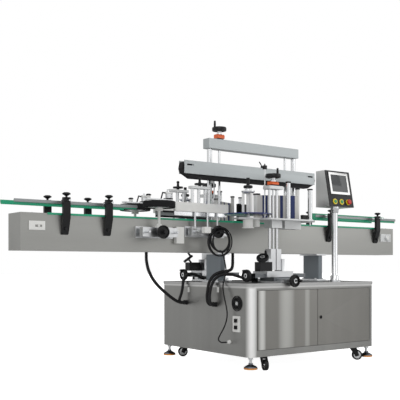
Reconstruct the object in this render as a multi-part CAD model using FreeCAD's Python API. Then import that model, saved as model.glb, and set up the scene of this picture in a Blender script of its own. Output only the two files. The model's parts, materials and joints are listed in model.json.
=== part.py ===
import FreeCAD, Part
import math
import os

# Two-sided bottle labelling machine, in millimetres.
# +X follows the bottles along the conveyor, +Y is the back, +Z is up, the floor is Z = 0.
# X = 0 is the middle of the conveyor, Y = 0 is the centre plane of conveyor and cabinet.

V = FreeCAD.Vector

# Cabinet
cabinet_left = -260.0
cabinet_length = 1090.0
cabinet_depth = 930.0
cabinet_bottom = 88.0
cabinet_height = 415.0
sheet = 3.0
corner_radius = 40.0
top_thickness = 18.0
top_overhang = 5.0
door_side_margin = 57.0
door_right_margin = 48.0
door_sill = 39.0
door_head = 23.0
door_lip = 25.0
door_gap = 3.5
door_thickness = 16.0
hinge_pin_diameter = 6.0

# Feet and casters
foot_inset = 37.5
foot_clearance = 17.0
foot_pad_diameter = 82.0
foot_stem_diameter = 16.0
caster_wheel_diameter = 67.0
caster_wheel_width = 25.0
caster_axle_diameter = 10.0
caster_trail = 22.0
caster_left_offset = 160.0
caster_right_offset = 137.0
caster_inset = 60.0

# Fittings on the left end wall, and the door latch
fan_y = -348.0
fan_z = 401.0
fan_diameter = 92.0
socket_y = -345.0
socket_z = 279.0
socket_plate_width = 68.0
socket_plate_height = 94.0
socket_size = 22.0
socket_hole_diameter = 15.0
gland_y = -280.0
gland_z = 167.0
gland_length = 22.0
latch_z = 303.0
conduit_diameter = 20.0
conduit_entries = ((171.0, 386.0), (195.0, 386.0), (-142.0, 386.0), (-118.0, 386.0))
clip_places = ((145.0, 33.0), (-165.0, 25.0))

# Power cord and its coil
cord_diameter = 8.0
coil_outer = 95.0
coil_inner = 66.0
coil_depth = 17.0
plug_length = 46.0
plug_depth = 34.0
plug_height = 38.0
plug_rise = 59.0
plug_rounding = 7.0

# Conveyor
conveyor_length = 3000.0
beam_width = 165.0
beam_height = 200.0
leg_length = 186.0
leg_thickness = 36.0
leg_width = 150.0
leg_left_x = -154.0
leg_right_x = 719.0
flange_thickness = 10.0
slat_pitch = 38.1
slat_gap = 1.5
slat_thickness = 4.0
slat_width = 150.0
knuckle_height = 10.0
strip_height = 8.0
strip_rise = 3.0
strip_hook = 16.0
sprocket_inset = 76.0
chain_radius = 71.0
shaft_diameter = 25.0

# Bottle guides
guide_rail_height = 17.0
guide_rail_thickness = 8.0
guide_strip_thickness = 4.0
rail_clip_thickness = 2.0
guide_lane = 100.0
guide_above_chain = 54.0
guide_rod_above_rail = 15.0
guide_strip_drop = 7.0
guide_strip_height = 20.0
outfeed_front_rise = 7.0
outfeed_rear_rise = 27.0
outfeed_rear_strip_height = 38.0
outfeed_rear_strip_end = 1410.0
guide_overhang = 55.0
guide_front_overhang = 24.0
rail_to_wheel_gap = 8.0
bracket_end_inset = 250.0
bracket_rail_inset = 99.0
bracket_width = 42.0
bracket_foot_drop = 114.0
bracket_bend_drop = 22.0
rear_infeed_shift = (-12.0, -20.0)
rear_outfeed_reach = 268.0
bracket_depth = 20.0
rail_rod_diameter = 12.0
knob_diameter = 45.0

# Side adjusters of the separating wheels and of the centring guides
slide_rod_diameter = 14.0
screw_diameter = 14.0
mount_plate_thickness = 12.0
slide_rod_reach = 96.0
separator_x = -673.0
separator_screw_x = -681.0
separator_screw_z = 820.0
sponge_wheel_diameter = 190.0
sponge_wheel_width = 40.0
sponge_wheel_bottom = 962.0
separator_offset = 135.0
front_cap_offset = -72.0
rear_cap_offset = -30.0
centring_screw_x = -280.0
centring_screw_z = 832.0
centring_left = -551.0
centring_right = -143.0
centring_bar_bottom = 953.0
centring_bar_height = 54.0
centring_bar_thickness = 20.0
centring_offset = 115.0
lane_strip_drop = 25.0
lane_strip_height = 44.0
lane_rib_height = 12.0
side_wheel_diameter = 78.0
side_wheel_y = 185.0

# Top press
press_left = -418.0
press_right = 708.0
press_width = 60.0
press_bottom = 1197.0
press_height = 82.0
press_plate = 5.0
belt_drop = 27.0
belt_width = 44.0
column_offset = 115.0
column_diameter = 32.0
column_left_x = -116.0
column_right_x = 637.0
press_screw_offset = 81.0
press_screw_diameter = 16.0
top_beam_left = -144.0
top_beam_right = 659.0
top_beam_bottom = 1394.0
top_beam_size = 65.0
press_wheel_diameter = 95.0
indicator_width = 56.0
indicator_depth = 46.0
indicator_base_height = 10.0
press_indicator_height = 36.0

# Labelling heads, given for the front one; the rear one is its mirror image
head_x = 43.0
head_y = -330.0
y_shaft_diameter = 12.0
base_x = 64.0
way_width = 100.0
base_way_height = 24.0
base_back = -200.0
saddle_length = 130.0
cross_way_left = -137.0
cross_way_right = 273.0
cross_way_height = 25.0
pivot_above_table = 62.0
clamp_height = 130.0
mast_column_diameter = 18.0
mast_column_spacing = 60.0
mast_top = 1098.0
mast_plate_thickness = 20.0
head_indicator_height = 28.0
clamp_half = 43.0
clamp_depth = 28.0
cheek_thickness = 22.0
pivot_diameter = 24.0
lift_screw_diameter = 14.0
deck_z = 904.0
deck_thickness = 10.0
deck_left = -250.0
deck_right = 366.0
deck_arm_half = 50.0
deck_step_x = -110.0
deck_step = 50.0
deck_front = -430.0
deck_back = -168.0
reel_x = -160.0
reel_diameter = 290.0
reel_spindle = 20.0
label_height = 204.0
drive_roller_x = 342.0
drive_roller_diameter = 28.0
sensor_post_x = 34.0
sensor_post_y = -262.0
sensor_post_height = 350.0
web_height = 150.0
web_thickness = 1.0
lift_wheel_diameter = 95.0
small_wheel_diameter = 76.0

# Operator panel
panel_post_x = 517.0
panel_post_y = -400.0
panel_post_diameter = 38.0
panel_left = 438.0
panel_right = 664.0
panel_bottom = 1008.0
panel_height = 236.0
panel_front = -430.0
panel_top_front = -385.0
panel_rear = -309.0
button_diameter = 22.0
button_spacing = 61.0
button_travel = 3.0

# Fits
running_fit = 0.05
seat_gap = 0.3

# Worked-out levels and edges
cabinet_right = cabinet_left + cabinet_length
cabinet_front = -cabinet_depth / 2
cabinet_back = cabinet_depth / 2
cabinet_top_z = cabinet_bottom + cabinet_height
table_top = cabinet_top_z + top_thickness
beam_bottom = table_top + leg_length
beam_top = beam_bottom + beam_height
beam_side = beam_width / 2
chain_top = beam_top
door_left_x = cabinet_left + door_side_margin
door_right_x = cabinet_right - door_right_margin
door_bottom_z = cabinet_bottom + door_sill
door_top_z = cabinet_top_z - door_head
door_split_x = (door_left_x + door_right_x) / 2 + 6
door_axis_inset = 7.0
guide_z = chain_top + guide_above_chain
mount_face = beam_side + mount_plate_thickness
drive_x = conveyor_length / 2 - sprocket_inset
core_bottom = press_bottom + 10
drive_z = chain_top - chain_radius
base_top = table_top + base_way_height
base_front = cabinet_front + 3
y_wheel_z = table_top + 13
cross_way_bottom = base_top + 7
cross_way_top = cross_way_bottom + cross_way_height
table_plate_top = cross_way_top + 15
pivot_z = table_plate_top + pivot_above_table - 12


def box(x0, x1, y0, y1, z0, z1):
    corner = V(min(x0, x1), min(y0, y1), min(z0, z1))
    return Part.makeBox(abs(x1 - x0), abs(y1 - y0), abs(z1 - z0), corner)


def rod(start, end, diameter):
    a = V(*start)
    along = V(*end) - a
    return Part.makeCylinder(diameter / 2, along.Length, a, along)


def turned(profile, base, direction):
    """Solid of revolution: profile holds (radius, distance along the axis)."""
    points = [V(radius, 0, along) for radius, along in profile]
    face = Part.Face(Part.makePolygon(points + [points[0]]))
    solid = face.revolve(V(0, 0, 0), V(0, 0, 1), 360)
    turn = FreeCAD.Rotation(V(0, 0, 1), V(*direction))
    solid.Placement = FreeCAD.Placement(V(*base), turn)
    return solid


def extruded(points, direction):
    vertices = [V(*point) for point in points]
    return Part.Face(Part.makePolygon(vertices + [vertices[0]])).extrude(V(*direction))


def rounded_plate(x0, x1, y0, y1, z0, z1, radius):
    plate = box(x0, x1, y0, y1, z0, z1)
    corners = [e for e in plate.Edges if abs(e.Vertexes[0].Z - e.Vertexes[1].Z) > 1e-6]
    return plate.makeFillet(radius, corners)


def joined(shapes):
    whole = shapes[0]
    if len(shapes) > 1:
        whole = whole.fuse(shapes[1:])
    return whole.removeSplitter()


def group(shapes):
    return Part.makeCompound(shapes)


def mirrored(shape):
    return shape.mirror(V(0, 0, 0), V(0, 1, 0))


def handwheel(base, direction, diameter, width, reach, shaft_diameter, handle):
    """A dished handwheel at base with its hub, a raised lozenge and a shaft of length reach behind it."""
    r = diameter / 2
    profile = [
        (0, -reach), (shaft_diameter / 2, -reach), (shaft_diameter / 2, -3),
        (r * 0.36, -3), (r * 0.36, width * 0.25), (r * 0.78, width * 0.25),
        (r * 0.86, 0), (r * 0.97, 0), (r, width * 0.25), (r, width * 0.75),
        (r * 0.95, width), (r * 0.84, width), (r * 0.76, width * 0.55),
        (r * 0.40, width * 0.55), (r * 0.38, width), (r * 0.20, width), (r * 0.20, width - 3), (0, width - 3),
    ]
    wheel = turned(profile, base, direction)
    frame = FreeCAD.Placement(V(*base), FreeCAD.Rotation(V(0, 0, 1), V(*direction)))
    pieces = [wheel]
    if handle:
        grip = turned(
            [(0, 0), (4, 0), (6.5, 4), (7.5, handle * 0.6), (6, handle), (0, handle)],
            (0, 0, 0), (0, 0, 1))
        grip.Placement = frame.multiply(FreeCAD.Placement(V(r * 0.78, 0, width * 0.5), FreeCAD.Rotation()))
        pieces.append(grip)
    return joined(pieces)


def tube_path(points):
    """Straight runs joined by tangent arcs, each as large as its two runs allow."""
    nodes = [V(*point) for point in points]
    edges = []
    last = nodes[0]
    radii = []
    for before, here, after in zip(nodes, nodes[1:], nodes[2:]):
        back = (before - here).normalize()
        ahead = (after - here).normalize()
        turn = math.pi - back.getAngle(ahead)
        cut = 0.45 * min((before - here).Length, (after - here).Length)
        radii.append(cut / math.tan(turn / 2))
        start = here + back * cut
        end = here + ahead * cut
        inward = (back + ahead).normalize()
        to_centre = radii[-1] / math.cos(turn / 2)
        middle = here + inward * (to_centre - radii[-1])
        edges.append(Part.LineSegment(last, start).toShape())
        edges.append(Part.Arc(start, middle, end).toShape())
        last = end
    edges.append(Part.LineSegment(last, nodes[-1]).toShape())
    return Part.Wire(edges), radii


def tube(points, diameter, label=None):
    path, radii = tube_path(points)
    start = V(*points[0])
    along = V(*points[1]) - start
    section = Part.Wire(Part.makeCircle(diameter / 2, start, along))
    solid = path.makePipeShell([section], True, False)
    if label:
        expected = math.pi * diameter ** 2 / 4 * path.Length
        listed = " ".join(f"{radius:.0f}" for radius in radii)
        print(f"{label}: length {path.Length:.1f}, volume ratio {solid.Volume / expected:.4f}, radii {listed}")
    return solid


# Cabinet

def cabinet_shell():
    outer = rounded_plate(cabinet_left, cabinet_right, cabinet_front, cabinet_back,
                          cabinet_bottom, cabinet_top_z, corner_radius)
    inner = rounded_plate(cabinet_left + sheet, cabinet_right - sheet,
                          cabinet_front + sheet, cabinet_back - sheet,
                          cabinet_bottom + sheet, cabinet_top_z, corner_radius - sheet)
    lip = box(door_left_x - sheet, door_right_x + sheet, cabinet_front, cabinet_front + door_lip,
              door_bottom_z - sheet, door_top_z + sheet)
    opening = box(door_left_x, door_right_x, cabinet_front - 1, cabinet_front + door_lip + 1,
                  door_bottom_z, door_top_z)
    shell = joined([outer.cut(inner), lip]).cut(opening)
    for x in (door_left_x + door_gap + door_axis_inset, door_right_x - door_gap - door_axis_inset):
        pin_hole = rod((x, cabinet_front + door_axis_inset, door_bottom_z - sheet - 1),
                       (x, cabinet_front + door_axis_inset, door_top_z + sheet + 1),
                       hinge_pin_diameter + 2 * running_fit)
        shell = shell.cut(pin_hole)
    fan_hole = rod((cabinet_left - 1, fan_y, fan_z), (cabinet_left + sheet + 1, fan_y, fan_z), fan_diameter - 16)
    shell = shell.cut(fan_hole)
    return group([shell.common(zone) for zone in sheet_zones()])


def sheet_zones():
    """The floor, four rounded corner posts, three plain walls and the four sides of the door frame."""
    xs = (cabinet_left, cabinet_left + corner_radius, cabinet_right - corner_radius, cabinet_right)
    ys = (cabinet_front, cabinet_front + corner_radius, cabinet_back - corner_radius, cabinet_back)
    floor_top = cabinet_bottom + sheet
    zones = [box(xs[0], xs[3], ys[0], ys[3], cabinet_bottom, floor_top)]
    for i in (0, 2):
        for j in (0, 2):
            zones.append(box(xs[i], xs[i + 1], ys[j], ys[j + 1], floor_top, cabinet_top_z))
        zones.append(box(xs[i], xs[i + 1], ys[1], ys[2], floor_top, cabinet_top_z))
    zones.append(box(xs[1], xs[2], ys[2], ys[3], floor_top, cabinet_top_z))
    zones.append(box(xs[1], xs[2], ys[0], ys[1], floor_top, door_bottom_z))
    zones.append(box(xs[1], xs[2], ys[0], ys[1], door_top_z, cabinet_top_z))
    zones.append(box(xs[1], door_split_x, ys[0], ys[1], door_bottom_z, door_top_z))
    zones.append(box(door_split_x, xs[2], ys[0], ys[1], door_bottom_z, door_top_z))
    return zones


def cabinet_top():
    plate = rounded_plate(cabinet_left - top_overhang, cabinet_right + top_overhang,
                          cabinet_front - top_overhang, cabinet_back + top_overhang,
                          cabinet_top_z, table_top, corner_radius + top_overhang)
    pieces = [plate]
    for side in (1, -1):
        way = box(base_x - way_width / 2, base_x + way_width / 2, side * base_front, side * base_back,
                  table_top, base_top)
        foot = box(base_x - way_width / 2 - 26, base_x + way_width / 2 + 26, side * base_front, side * base_back,
                   table_top, table_top + 8)
        bearing = rod((base_x, side * (base_front - 1), y_wheel_z), (base_x, side * (base_front + 60), y_wheel_z),
                      y_shaft_diameter + 2 * running_fit)
        pieces.append(joined([way, foot]).cut(bearing))
    return group(pieces)


def door(hinge_x, free_x):
    """A formed tray with pivot pins at the hinge side, seen from outside as a flat panel."""
    side = 1 if free_x > hinge_x else -1
    z0 = door_bottom_z + door_gap - 1.5
    z1 = door_top_z - door_gap + 1.5
    panel = box(hinge_x, free_x, cabinet_front, cabinet_front + door_thickness, z0, z1)
    hollow = box(hinge_x + side * 14, free_x - side * 2, cabinet_front + 2,
                 cabinet_front + door_thickness + 1, z0 + 2, z1 - 2)
    tray = panel.cut(hollow)
    axis_x = hinge_x + side * door_axis_inset
    axis_y = cabinet_front + door_axis_inset
    pins = [
        rod((axis_x, axis_y, z1 - 1), (axis_x, axis_y, door_top_z + sheet + 4), hinge_pin_diameter),
        rod((axis_x, axis_y, z0 + 1), (axis_x, axis_y, door_bottom_z - sheet - 4), hinge_pin_diameter),
    ]
    return joined([tray] + pins)


def door_left():
    return door(door_left_x + door_gap, door_split_x - 1.5)


def door_right():
    leaf = door(door_right_x - door_gap, door_split_x + 1.5)
    latch_x = door_split_x + 28
    latch = turned([(0, 0), (11, 0), (11, 3), (8, 5), (0, 5)], (latch_x, cabinet_front + 1, latch_z), (0, -1, 0))
    grip = box(latch_x - 2, latch_x + 2, cabinet_front - 9, cabinet_front - 2, latch_z - 8, latch_z + 8)
    return joined([leaf, latch, grip])


def end_wall_fittings():
    """Fan guard, socket plate, cord gland and conduit elbows on the left end wall."""
    wall = cabinet_left
    rings = []
    for outer in (fan_diameter, fan_diameter - 24, fan_diameter - 48, fan_diameter - 72):
        ring = turned([(outer / 2 - 5, 0), (outer / 2, 0), (outer / 2, 5), (outer / 2 - 5, 5)],
                      (wall, fan_y, fan_z), (-1, 0, 0))
        rings.append(ring)
    reach = fan_diameter / 2 - 2
    for turn in (45, 135):
        dy = reach * math.cos(math.radians(turn))
        dz = reach * math.sin(math.radians(turn))
        rings.append(rod((wall - 2.6, fan_y - dy, fan_z - dz), (wall - 2.6, fan_y + dy, fan_z + dz), 3.6))
    guard = joined(rings)
    plate = rounded_socket_plate(wall)
    sockets = []
    half = socket_size / 2
    for dz in (20, -20):
        block = box(wall - 14, wall - 5, socket_y - half, socket_y + half, socket_z + dz - half, socket_z + dz + half)
        recess = rod((wall - 15, socket_y, socket_z + dz), (wall - 6.5, socket_y, socket_z + dz), socket_hole_diameter)
        sockets.append(block.cut(recess))
    gland = turned([(0, 0), (12, 0), (12, 6), (9, 8), (9, 16), (cord_diameter / 2 + 2, gland_length),
                    (0, gland_length)], (wall, gland_y, gland_z), (-1, 0, 0))
    elbows = []
    for y, z in conduit_entries:
        elbows.append(turned([(0, 0), (15, 0), (15, 5), (12, 6), (12, 12), (0, 12)], (wall, y, z), (-1, 0, 0)))
    clips = []
    for y, below_top in clip_places:
        z = cabinet_top_z - below_top
        clips.append(box(wall - 6, wall, y - 7, y + 7, z - 16, z + 16))
    return group([guard, plate] + sockets + [gland] + elbows + clips)


def rounded_socket_plate(wall):
    plate = box(wall - 5, wall, socket_y - socket_plate_width / 2, socket_y + socket_plate_width / 2,
                socket_z - socket_plate_height / 2, socket_z + socket_plate_height / 2)
    corners = [e for e in plate.Edges if abs(e.Vertexes[0].X - e.Vertexes[1].X) > 1e-6]
    return plate.makeFillet(5, corners)


# Feet and casters

def foot(x, y):
    r = foot_pad_diameter / 2
    s = foot_stem_diameter / 2
    z = foot_clearance
    profile = [(0, z), (r, z), (r, z + 9), (r * 0.86, z + 16), (r * 0.5, z + 24), (s + 5, z + 28), (s + 5, z + 36),
               (s, z + 36), (s, cabinet_bottom - 14), (s + 6, cabinet_bottom - 14), (s + 6, cabinet_bottom),
               (0, cabinet_bottom)]
    return turned(profile, (x, y, 0), (0, 0, 1))


def levelling_feet():
    feet = []
    for x in (cabinet_left + foot_inset, cabinet_right - foot_inset):
        for y in (cabinet_front + foot_inset, cabinet_back - foot_inset):
            feet.append(foot(x, y))
    return group(feet)


caster_places = (
    (cabinet_left + caster_left_offset, cabinet_front + caster_inset, 250.0),
    (cabinet_right - caster_right_offset, cabinet_front + caster_inset, 324.0),
    (cabinet_left + caster_left_offset, cabinet_back - caster_inset, 150.0),
    (cabinet_right - caster_right_offset, cabinet_back - caster_inset, 300.0),
)


def placed_caster(shape, place):
    x, y, angle = place
    turn = FreeCAD.Rotation(V(0, 0, 1), angle)
    shape.Placement = FreeCAD.Placement(V(x, y, 0), turn).multiply(shape.Placement)
    return shape


def caster_fork(place):
    """Top plate, bearing race, two cheeks and the axle, before it is swivelled to its angle."""
    radius = caster_wheel_diameter / 2
    cheek = caster_wheel_width / 2 + 2
    crown = caster_wheel_diameter + 4
    plate = rounded_plate(-30, 30, -30, 30, cabinet_bottom - 5, cabinet_bottom, 6)
    race = rod((0, 0, crown), (0, 0, cabinet_bottom - 5), 44)
    bridge = box(-20, caster_trail - 2, -cheek - 3, cheek + 3, crown - 2, crown + 4)
    pieces = [plate, race, bridge]
    for side in (1, -1):
        outline = [(-20, side * cheek, crown + 2), (caster_trail - 2, side * cheek, crown + 2),
                   (caster_trail + 12, side * cheek, radius - 4), (caster_trail - 10, side * cheek, radius - 12)]
        pieces.append(extruded(outline, (0, side * 3, 0)))
    pieces.append(rod((caster_trail, -cheek - 5, radius), (caster_trail, cheek + 5, radius), caster_axle_diameter))
    return placed_caster(joined(pieces), place)


def caster_forks():
    return group([caster_fork(place) for place in caster_places])


def caster_wheel(place):
    radius = caster_wheel_diameter / 2
    half = caster_wheel_width / 2
    bore = caster_axle_diameter / 2 + running_fit
    profile = [(bore, -half - 1), (9, -half - 1), (9, -half + 4), (radius - 10, -half + 4), (radius - 8, -half),
               (radius - 2, -half), (radius, -half + 3), (radius, half - 3), (radius - 2, half), (radius - 8, half),
               (radius - 10, half - 4), (9, half - 4), (9, half + 1), (bore, half + 1)]
    wheel = turned(profile, (caster_trail, 0, radius), (0, 1, 0))
    return placed_caster(wheel, place)


# Conveyor

def conveyor_legs():
    legs = []
    for x in (leg_left_x, leg_right_x):
        post = box(x - leg_thickness / 2, x + leg_thickness / 2, -leg_width / 2, leg_width / 2, table_top, beam_bottom)
        inner = box(x - leg_thickness / 2 + 4, x + leg_thickness / 2 - 4, -leg_width / 2 + 4, leg_width / 2 - 4,
                    table_top, beam_bottom)
        flanges = []
        for z in (table_top, beam_bottom - flange_thickness):
            flanges.append(box(x - leg_thickness / 2 - 28, x + leg_thickness / 2 + 28, -leg_width / 2 - 10,
                               leg_width / 2 + 10, z, z + flange_thickness))
        legs.append(joined([post.cut(inner)] + flanges))
        for dx in (-leg_thickness / 2 - 16, leg_thickness / 2 + 16):
            for dy in (-leg_width / 2 + 15, leg_width / 2 - 15):
                legs.append(Part.makeCylinder(8, 7, V(x + dx, dy, table_top + flange_thickness)))
    return group(legs)


def conveyor_frame():
    half = conveyor_length / 2
    wall = sheet
    outer = box(-half, half, -beam_side, beam_side, beam_bottom, beam_top)
    inner = box(-half + wall, half - wall, -beam_side + wall, beam_side - wall, beam_bottom + wall, beam_top + 1)
    beam = outer.cut(inner)
    for x in (separator_screw_x, centring_screw_x):
        z = separator_screw_z if x == separator_screw_x else centring_screw_z
        beam = beam.cut(rod((x, -beam_side - 1, z), (x, beam_side + 1, z), screw_diameter + 2))
    beam = beam.cut(rod((drive_x, -beam_side - 1, drive_z), (drive_x, beam_side + 1, drive_z), shaft_diameter + 4))
    pieces = [beam]
    for side in (-1, 1):
        y0 = side * beam_side
        plate = box(drive_x - 75, drive_x + 42, y0, y0 + side * 6, drive_z - 29, drive_z + 29)
        bearing = turned([(0, 0), (26, 0), (26, 4), (20, 12), (0, 12)], (drive_x, y0 + side * 6, drive_z), (0, side, 0))
        bore = rod((drive_x, y0 - side, drive_z), (drive_x, y0 + side * 20, drive_z), shaft_diameter + 2 * running_fit)
        pieces.append(joined([plate, bearing]).cut(bore))
        tension = box(-half + 46, -half + 137, y0, y0 + side * 5, drive_z - 21, drive_z + 27)
        slot = box(-half + 80, -half + 120, y0 - side, y0 + side * 6, drive_z - 5, drive_z + 7)
        pieces.append(tension.cut(slot))
        bolt = rod((-half + 100, y0, drive_z + 1), (-half + 100, y0 + side * 9, drive_z + 1), 11)
        pieces.append(bolt)
    return group(pieces)


def wear_strips():
    half = conveyor_length / 2 - 2 * sprocket_inset
    inner = beam_side - sheet - seat_gap
    outer = beam_side + seat_gap
    low = beam_top - strip_height
    top = beam_top + strip_rise
    under = chain_top - slat_thickness
    strips = []
    for side in (-1, 1):
        section = [(-half, side * (inner - 24), under - 6), (-half, side * (inner - 4), under - 6),
                   (-half, side * (inner - 4), beam_top - strip_hook), (-half, side * inner, beam_top - strip_hook),
                   (-half, side * inner, beam_top), (-half, side * outer, beam_top),
                   (-half, side * outer, low), (-half, side * (outer + 4), low),
                   (-half, side * (outer + 4), top), (-half, side * (inner - 3), top),
                   (-half, side * (inner - 3), under), (-half, side * (inner - 24), under)]
        strips.append(extruded(section, (2 * half, 0, 0)))
    return_bed = chain_top - 2 * chain_radius - seat_gap
    for side in (-1, 1):
        strips.append(box(-half, half, side * (inner - 16), side * inner, return_bed - 10, return_bed))
    shoe_radius = chain_radius - slat_thickness - knuckle_height - seat_gap
    shoe = rod((-drive_x, -24, drive_z), (-drive_x, 24, drive_z), 2 * shoe_radius)
    hanger = rod((-drive_x, -beam_side + sheet, drive_z), (-drive_x, beam_side - sheet, drive_z), 26)
    strips.append(joined([shoe, hanger]))
    return group(strips)


def slat():
    """One chain plate, lying on the top run with its middle at the origin."""
    half = (slat_pitch - slat_gap) / 2
    plate = box(-half, half, -slat_width / 2, slat_width / 2, -slat_thickness, 0)
    knuckle = box(-slat_pitch / 2 + 0.2, slat_pitch / 2 - 0.2, -14, 14, -slat_thickness - knuckle_height, -slat_thickness)
    return joined([plate, knuckle])


def slat_chain():
    run = 2 * drive_x
    count = int(run / slat_pitch)
    first = -run / 2 + (run - count * slat_pitch) / 2 + slat_pitch / 2
    slats = []
    for i in range(count):
        x = first + i * slat_pitch
        top = slat()
        top.translate(V(x, 0, chain_top))
        slats.append(top)
        low = slat()
        low.rotate(V(0, 0, 0), V(0, 1, 0), 180)
        low.translate(V(x, 0, chain_top - 2 * chain_radius))
        slats.append(low)
    around = int(math.pi * (chain_radius - slat_thickness) / slat_pitch)
    for end in (-1, 1):
        for i in range(around):
            angle = 180 * (i + 0.5) / around
            piece = slat()
            piece.translate(V(0, 0, chain_radius))
            piece.rotate(V(0, 0, 0), V(0, 1, 0), end * angle)
            piece.translate(V(end * drive_x, 0, drive_z))
            slats.append(piece)
    return group(slats)


def drive_sprocket():
    teeth = 9
    tip = chain_radius - slat_thickness - knuckle_height - seat_gap
    disc = rod((0, -20, 0), (0, 20, 0), 2 * tip)
    notches = []
    for i in range(teeth):
        angle = 2 * math.pi * i / teeth
        x = tip * math.cos(angle)
        z = tip * math.sin(angle)
        notches.append(rod((x, -21, z), (x, 21, z), 18))
    disc = disc.cut(Part.makeCompound(notches))
    reach = beam_side + 17
    shaft = rod((0, -reach, 0), (0, reach, 0), shaft_diameter)
    whole = joined([disc, shaft])
    whole.translate(V(drive_x, 0, drive_z))
    return whole


# Bottle guide rails on their brackets

conveyor_end = conveyor_length / 2
infeed_front_end = separator_x - sponge_wheel_diameter / 2 - rail_to_wheel_gap
infeed_rear_end = infeed_front_end - 25
outfeed_front_start = press_right - 17
outfeed_rear_start = press_right + 32
infeed_brackets = (-conveyor_end + bracket_end_inset, infeed_front_end - 2 * bracket_rail_inset - 16)
infeed_rear_brackets = (infeed_brackets[0] + rear_infeed_shift[0], infeed_brackets[1] + rear_infeed_shift[1])
outfeed_brackets = (outfeed_front_start + bracket_rail_inset, conveyor_end - 210)
outfeed_rear_brackets = (outfeed_brackets[0], outfeed_brackets[0] + rear_outfeed_reach)
bracket_y = 108.0
rod_z = guide_z + guide_rod_above_rail


def guide_rail(x0, x1, side, places, rise=0, strip_height=guide_strip_height, strip_end=None):
    """Flat bar on its clamped rods, with the plastic strip on its lane side."""
    y_in = side * guide_lane / 2
    y_strip = y_in + side * guide_strip_thickness
    y_out = y_strip + side * guide_rail_thickness
    low = guide_z + rise
    top = low + guide_rail_height
    strip_low = guide_z - guide_strip_drop
    strip = box(x0, strip_end or x1, y_in, y_strip, strip_low, strip_low + strip_height)
    pieces = [box(x0, x1, y_strip, y_out, low, top)]
    for x in places:
        pieces.append(box(x - 9, x + 9, y_out - side, y_out + side * rail_clip_thickness, min(low, rod_z - 8),
                          max(top, rod_z + 8)))
        pieces.append(rod((x, y_out, rod_z), (x, side * (bracket_y + 46), rod_z), rail_rod_diameter))
    return group([joined(pieces), strip])


def rail_bracket(x, side):
    """Black bracket: an arm that leans out from the side plate to an upright rod clamp with a mushroom knob."""
    w = bracket_width / 2
    y_side = beam_side
    y_in = bracket_y - bracket_depth / 2
    y_out = bracket_y + bracket_depth / 2
    head = rod_z + 14
    foot_z = beam_top - bracket_foot_drop
    bend_z = beam_top - bracket_bend_drop
    outline = [(y_side, foot_z), (y_side + 10, foot_z + 7), (y_out, bend_z), (y_out, head), (y_in, head),
               (y_in, bend_z), (y_side, bend_z - 17)]
    arm = extruded([(x - w, side * y, z) for y, z in outline], (bracket_width, 0, 0))
    bolt_z = foot_z + 30
    bolt = rod((x, side * (y_side + 4), bolt_z), (x, side * (y_out - 9), bolt_z), 16)
    bore = rod((x, side * (y_in - 1), rod_z), (x, side * (y_out + 1), rod_z), rail_rod_diameter + 2 * running_fit)
    r = knob_diameter / 2
    knob = turned([(0, 0), (r, 0), (r, 4), (6, 5), (6, 11), (r * 0.55, 15), (r, 21), (r, 26), (r * 0.6, 31), (0, 31)],
                  (x, side * bracket_y, head), (0, 0, 1))
    return [joined([arm, bolt]).cut(bore), knob]


def rail_brackets():
    pieces = []
    for x in infeed_brackets + outfeed_brackets:
        pieces.extend(rail_bracket(x, -1))
    for x in infeed_rear_brackets + outfeed_rear_brackets:
        pieces.extend(rail_bracket(x, 1))
    return group(pieces)


# Separating wheels and centring guides, each pair driven by one left- and right-hand screw

def slide_mount(x0, x1, z, rods_x, screw_x, side):
    y0 = side * beam_side
    y1 = side * mount_face
    plate = box(x0, x1, y0, y1, z - 33, z + 33)
    rods = [rod((x, y1 - side, z), (x, y1 + side * slide_rod_reach, z), slide_rod_diameter) for x in rods_x]
    bore = rod((screw_x, y0 - side, z), (screw_x, y1 + side, z), screw_diameter + 2 * running_fit)
    return joined([plate] + rods).cut(bore)


separator_rods = (-770.0, -575.0)
centring_rods = (-425.0, -195.0)


def adjuster_mounts():
    mounts = []
    for side in (-1, 1):
        mounts.append(slide_mount(-808, -548, separator_screw_z, separator_rods, separator_screw_x, side))
        mounts.append(slide_mount(-462, -158, centring_screw_z, centring_rods, centring_screw_x, side))
    mounts.append(box(-533, -477, -beam_side, -beam_side - 28, 759, 858))
    return group(mounts)


def side_handwheel(x, z):
    wheel = handwheel((x, -side_wheel_y, z), (0, -1, 0), side_wheel_diameter, 18, 20, screw_diameter, 0)
    screw = rod((x, -side_wheel_y + 2, z), (x, mount_face + slide_rod_reach - 10, z), screw_diameter)
    hub = rod((x, -side_wheel_y - 17, z), (x, -side_wheel_y - hub_reach, z), hub_diameter)
    return joined([wheel, screw, hub])


hub_diameter = 26.0
hub_reach = 38.0


def carriage_block(x0, x1, z, half_height, offset, rods_x, screw_x, side):
    block = box(x0, x1, side * (offset - 17), side * (offset + 17), z - half_height, z + half_height)
    cuts = []
    for x in rods_x:
        cuts.append(rod((x, side * (offset - 30), z), (x, side * (offset + 30), z),
                        slide_rod_diameter + 2 * running_fit))
    cuts.append(rod((screw_x, side * (offset - 30), z), (screw_x, side * (offset + 30), z),
                    screw_diameter + 2 * running_fit))
    return block.cut(Part.makeCompound(cuts))


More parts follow.
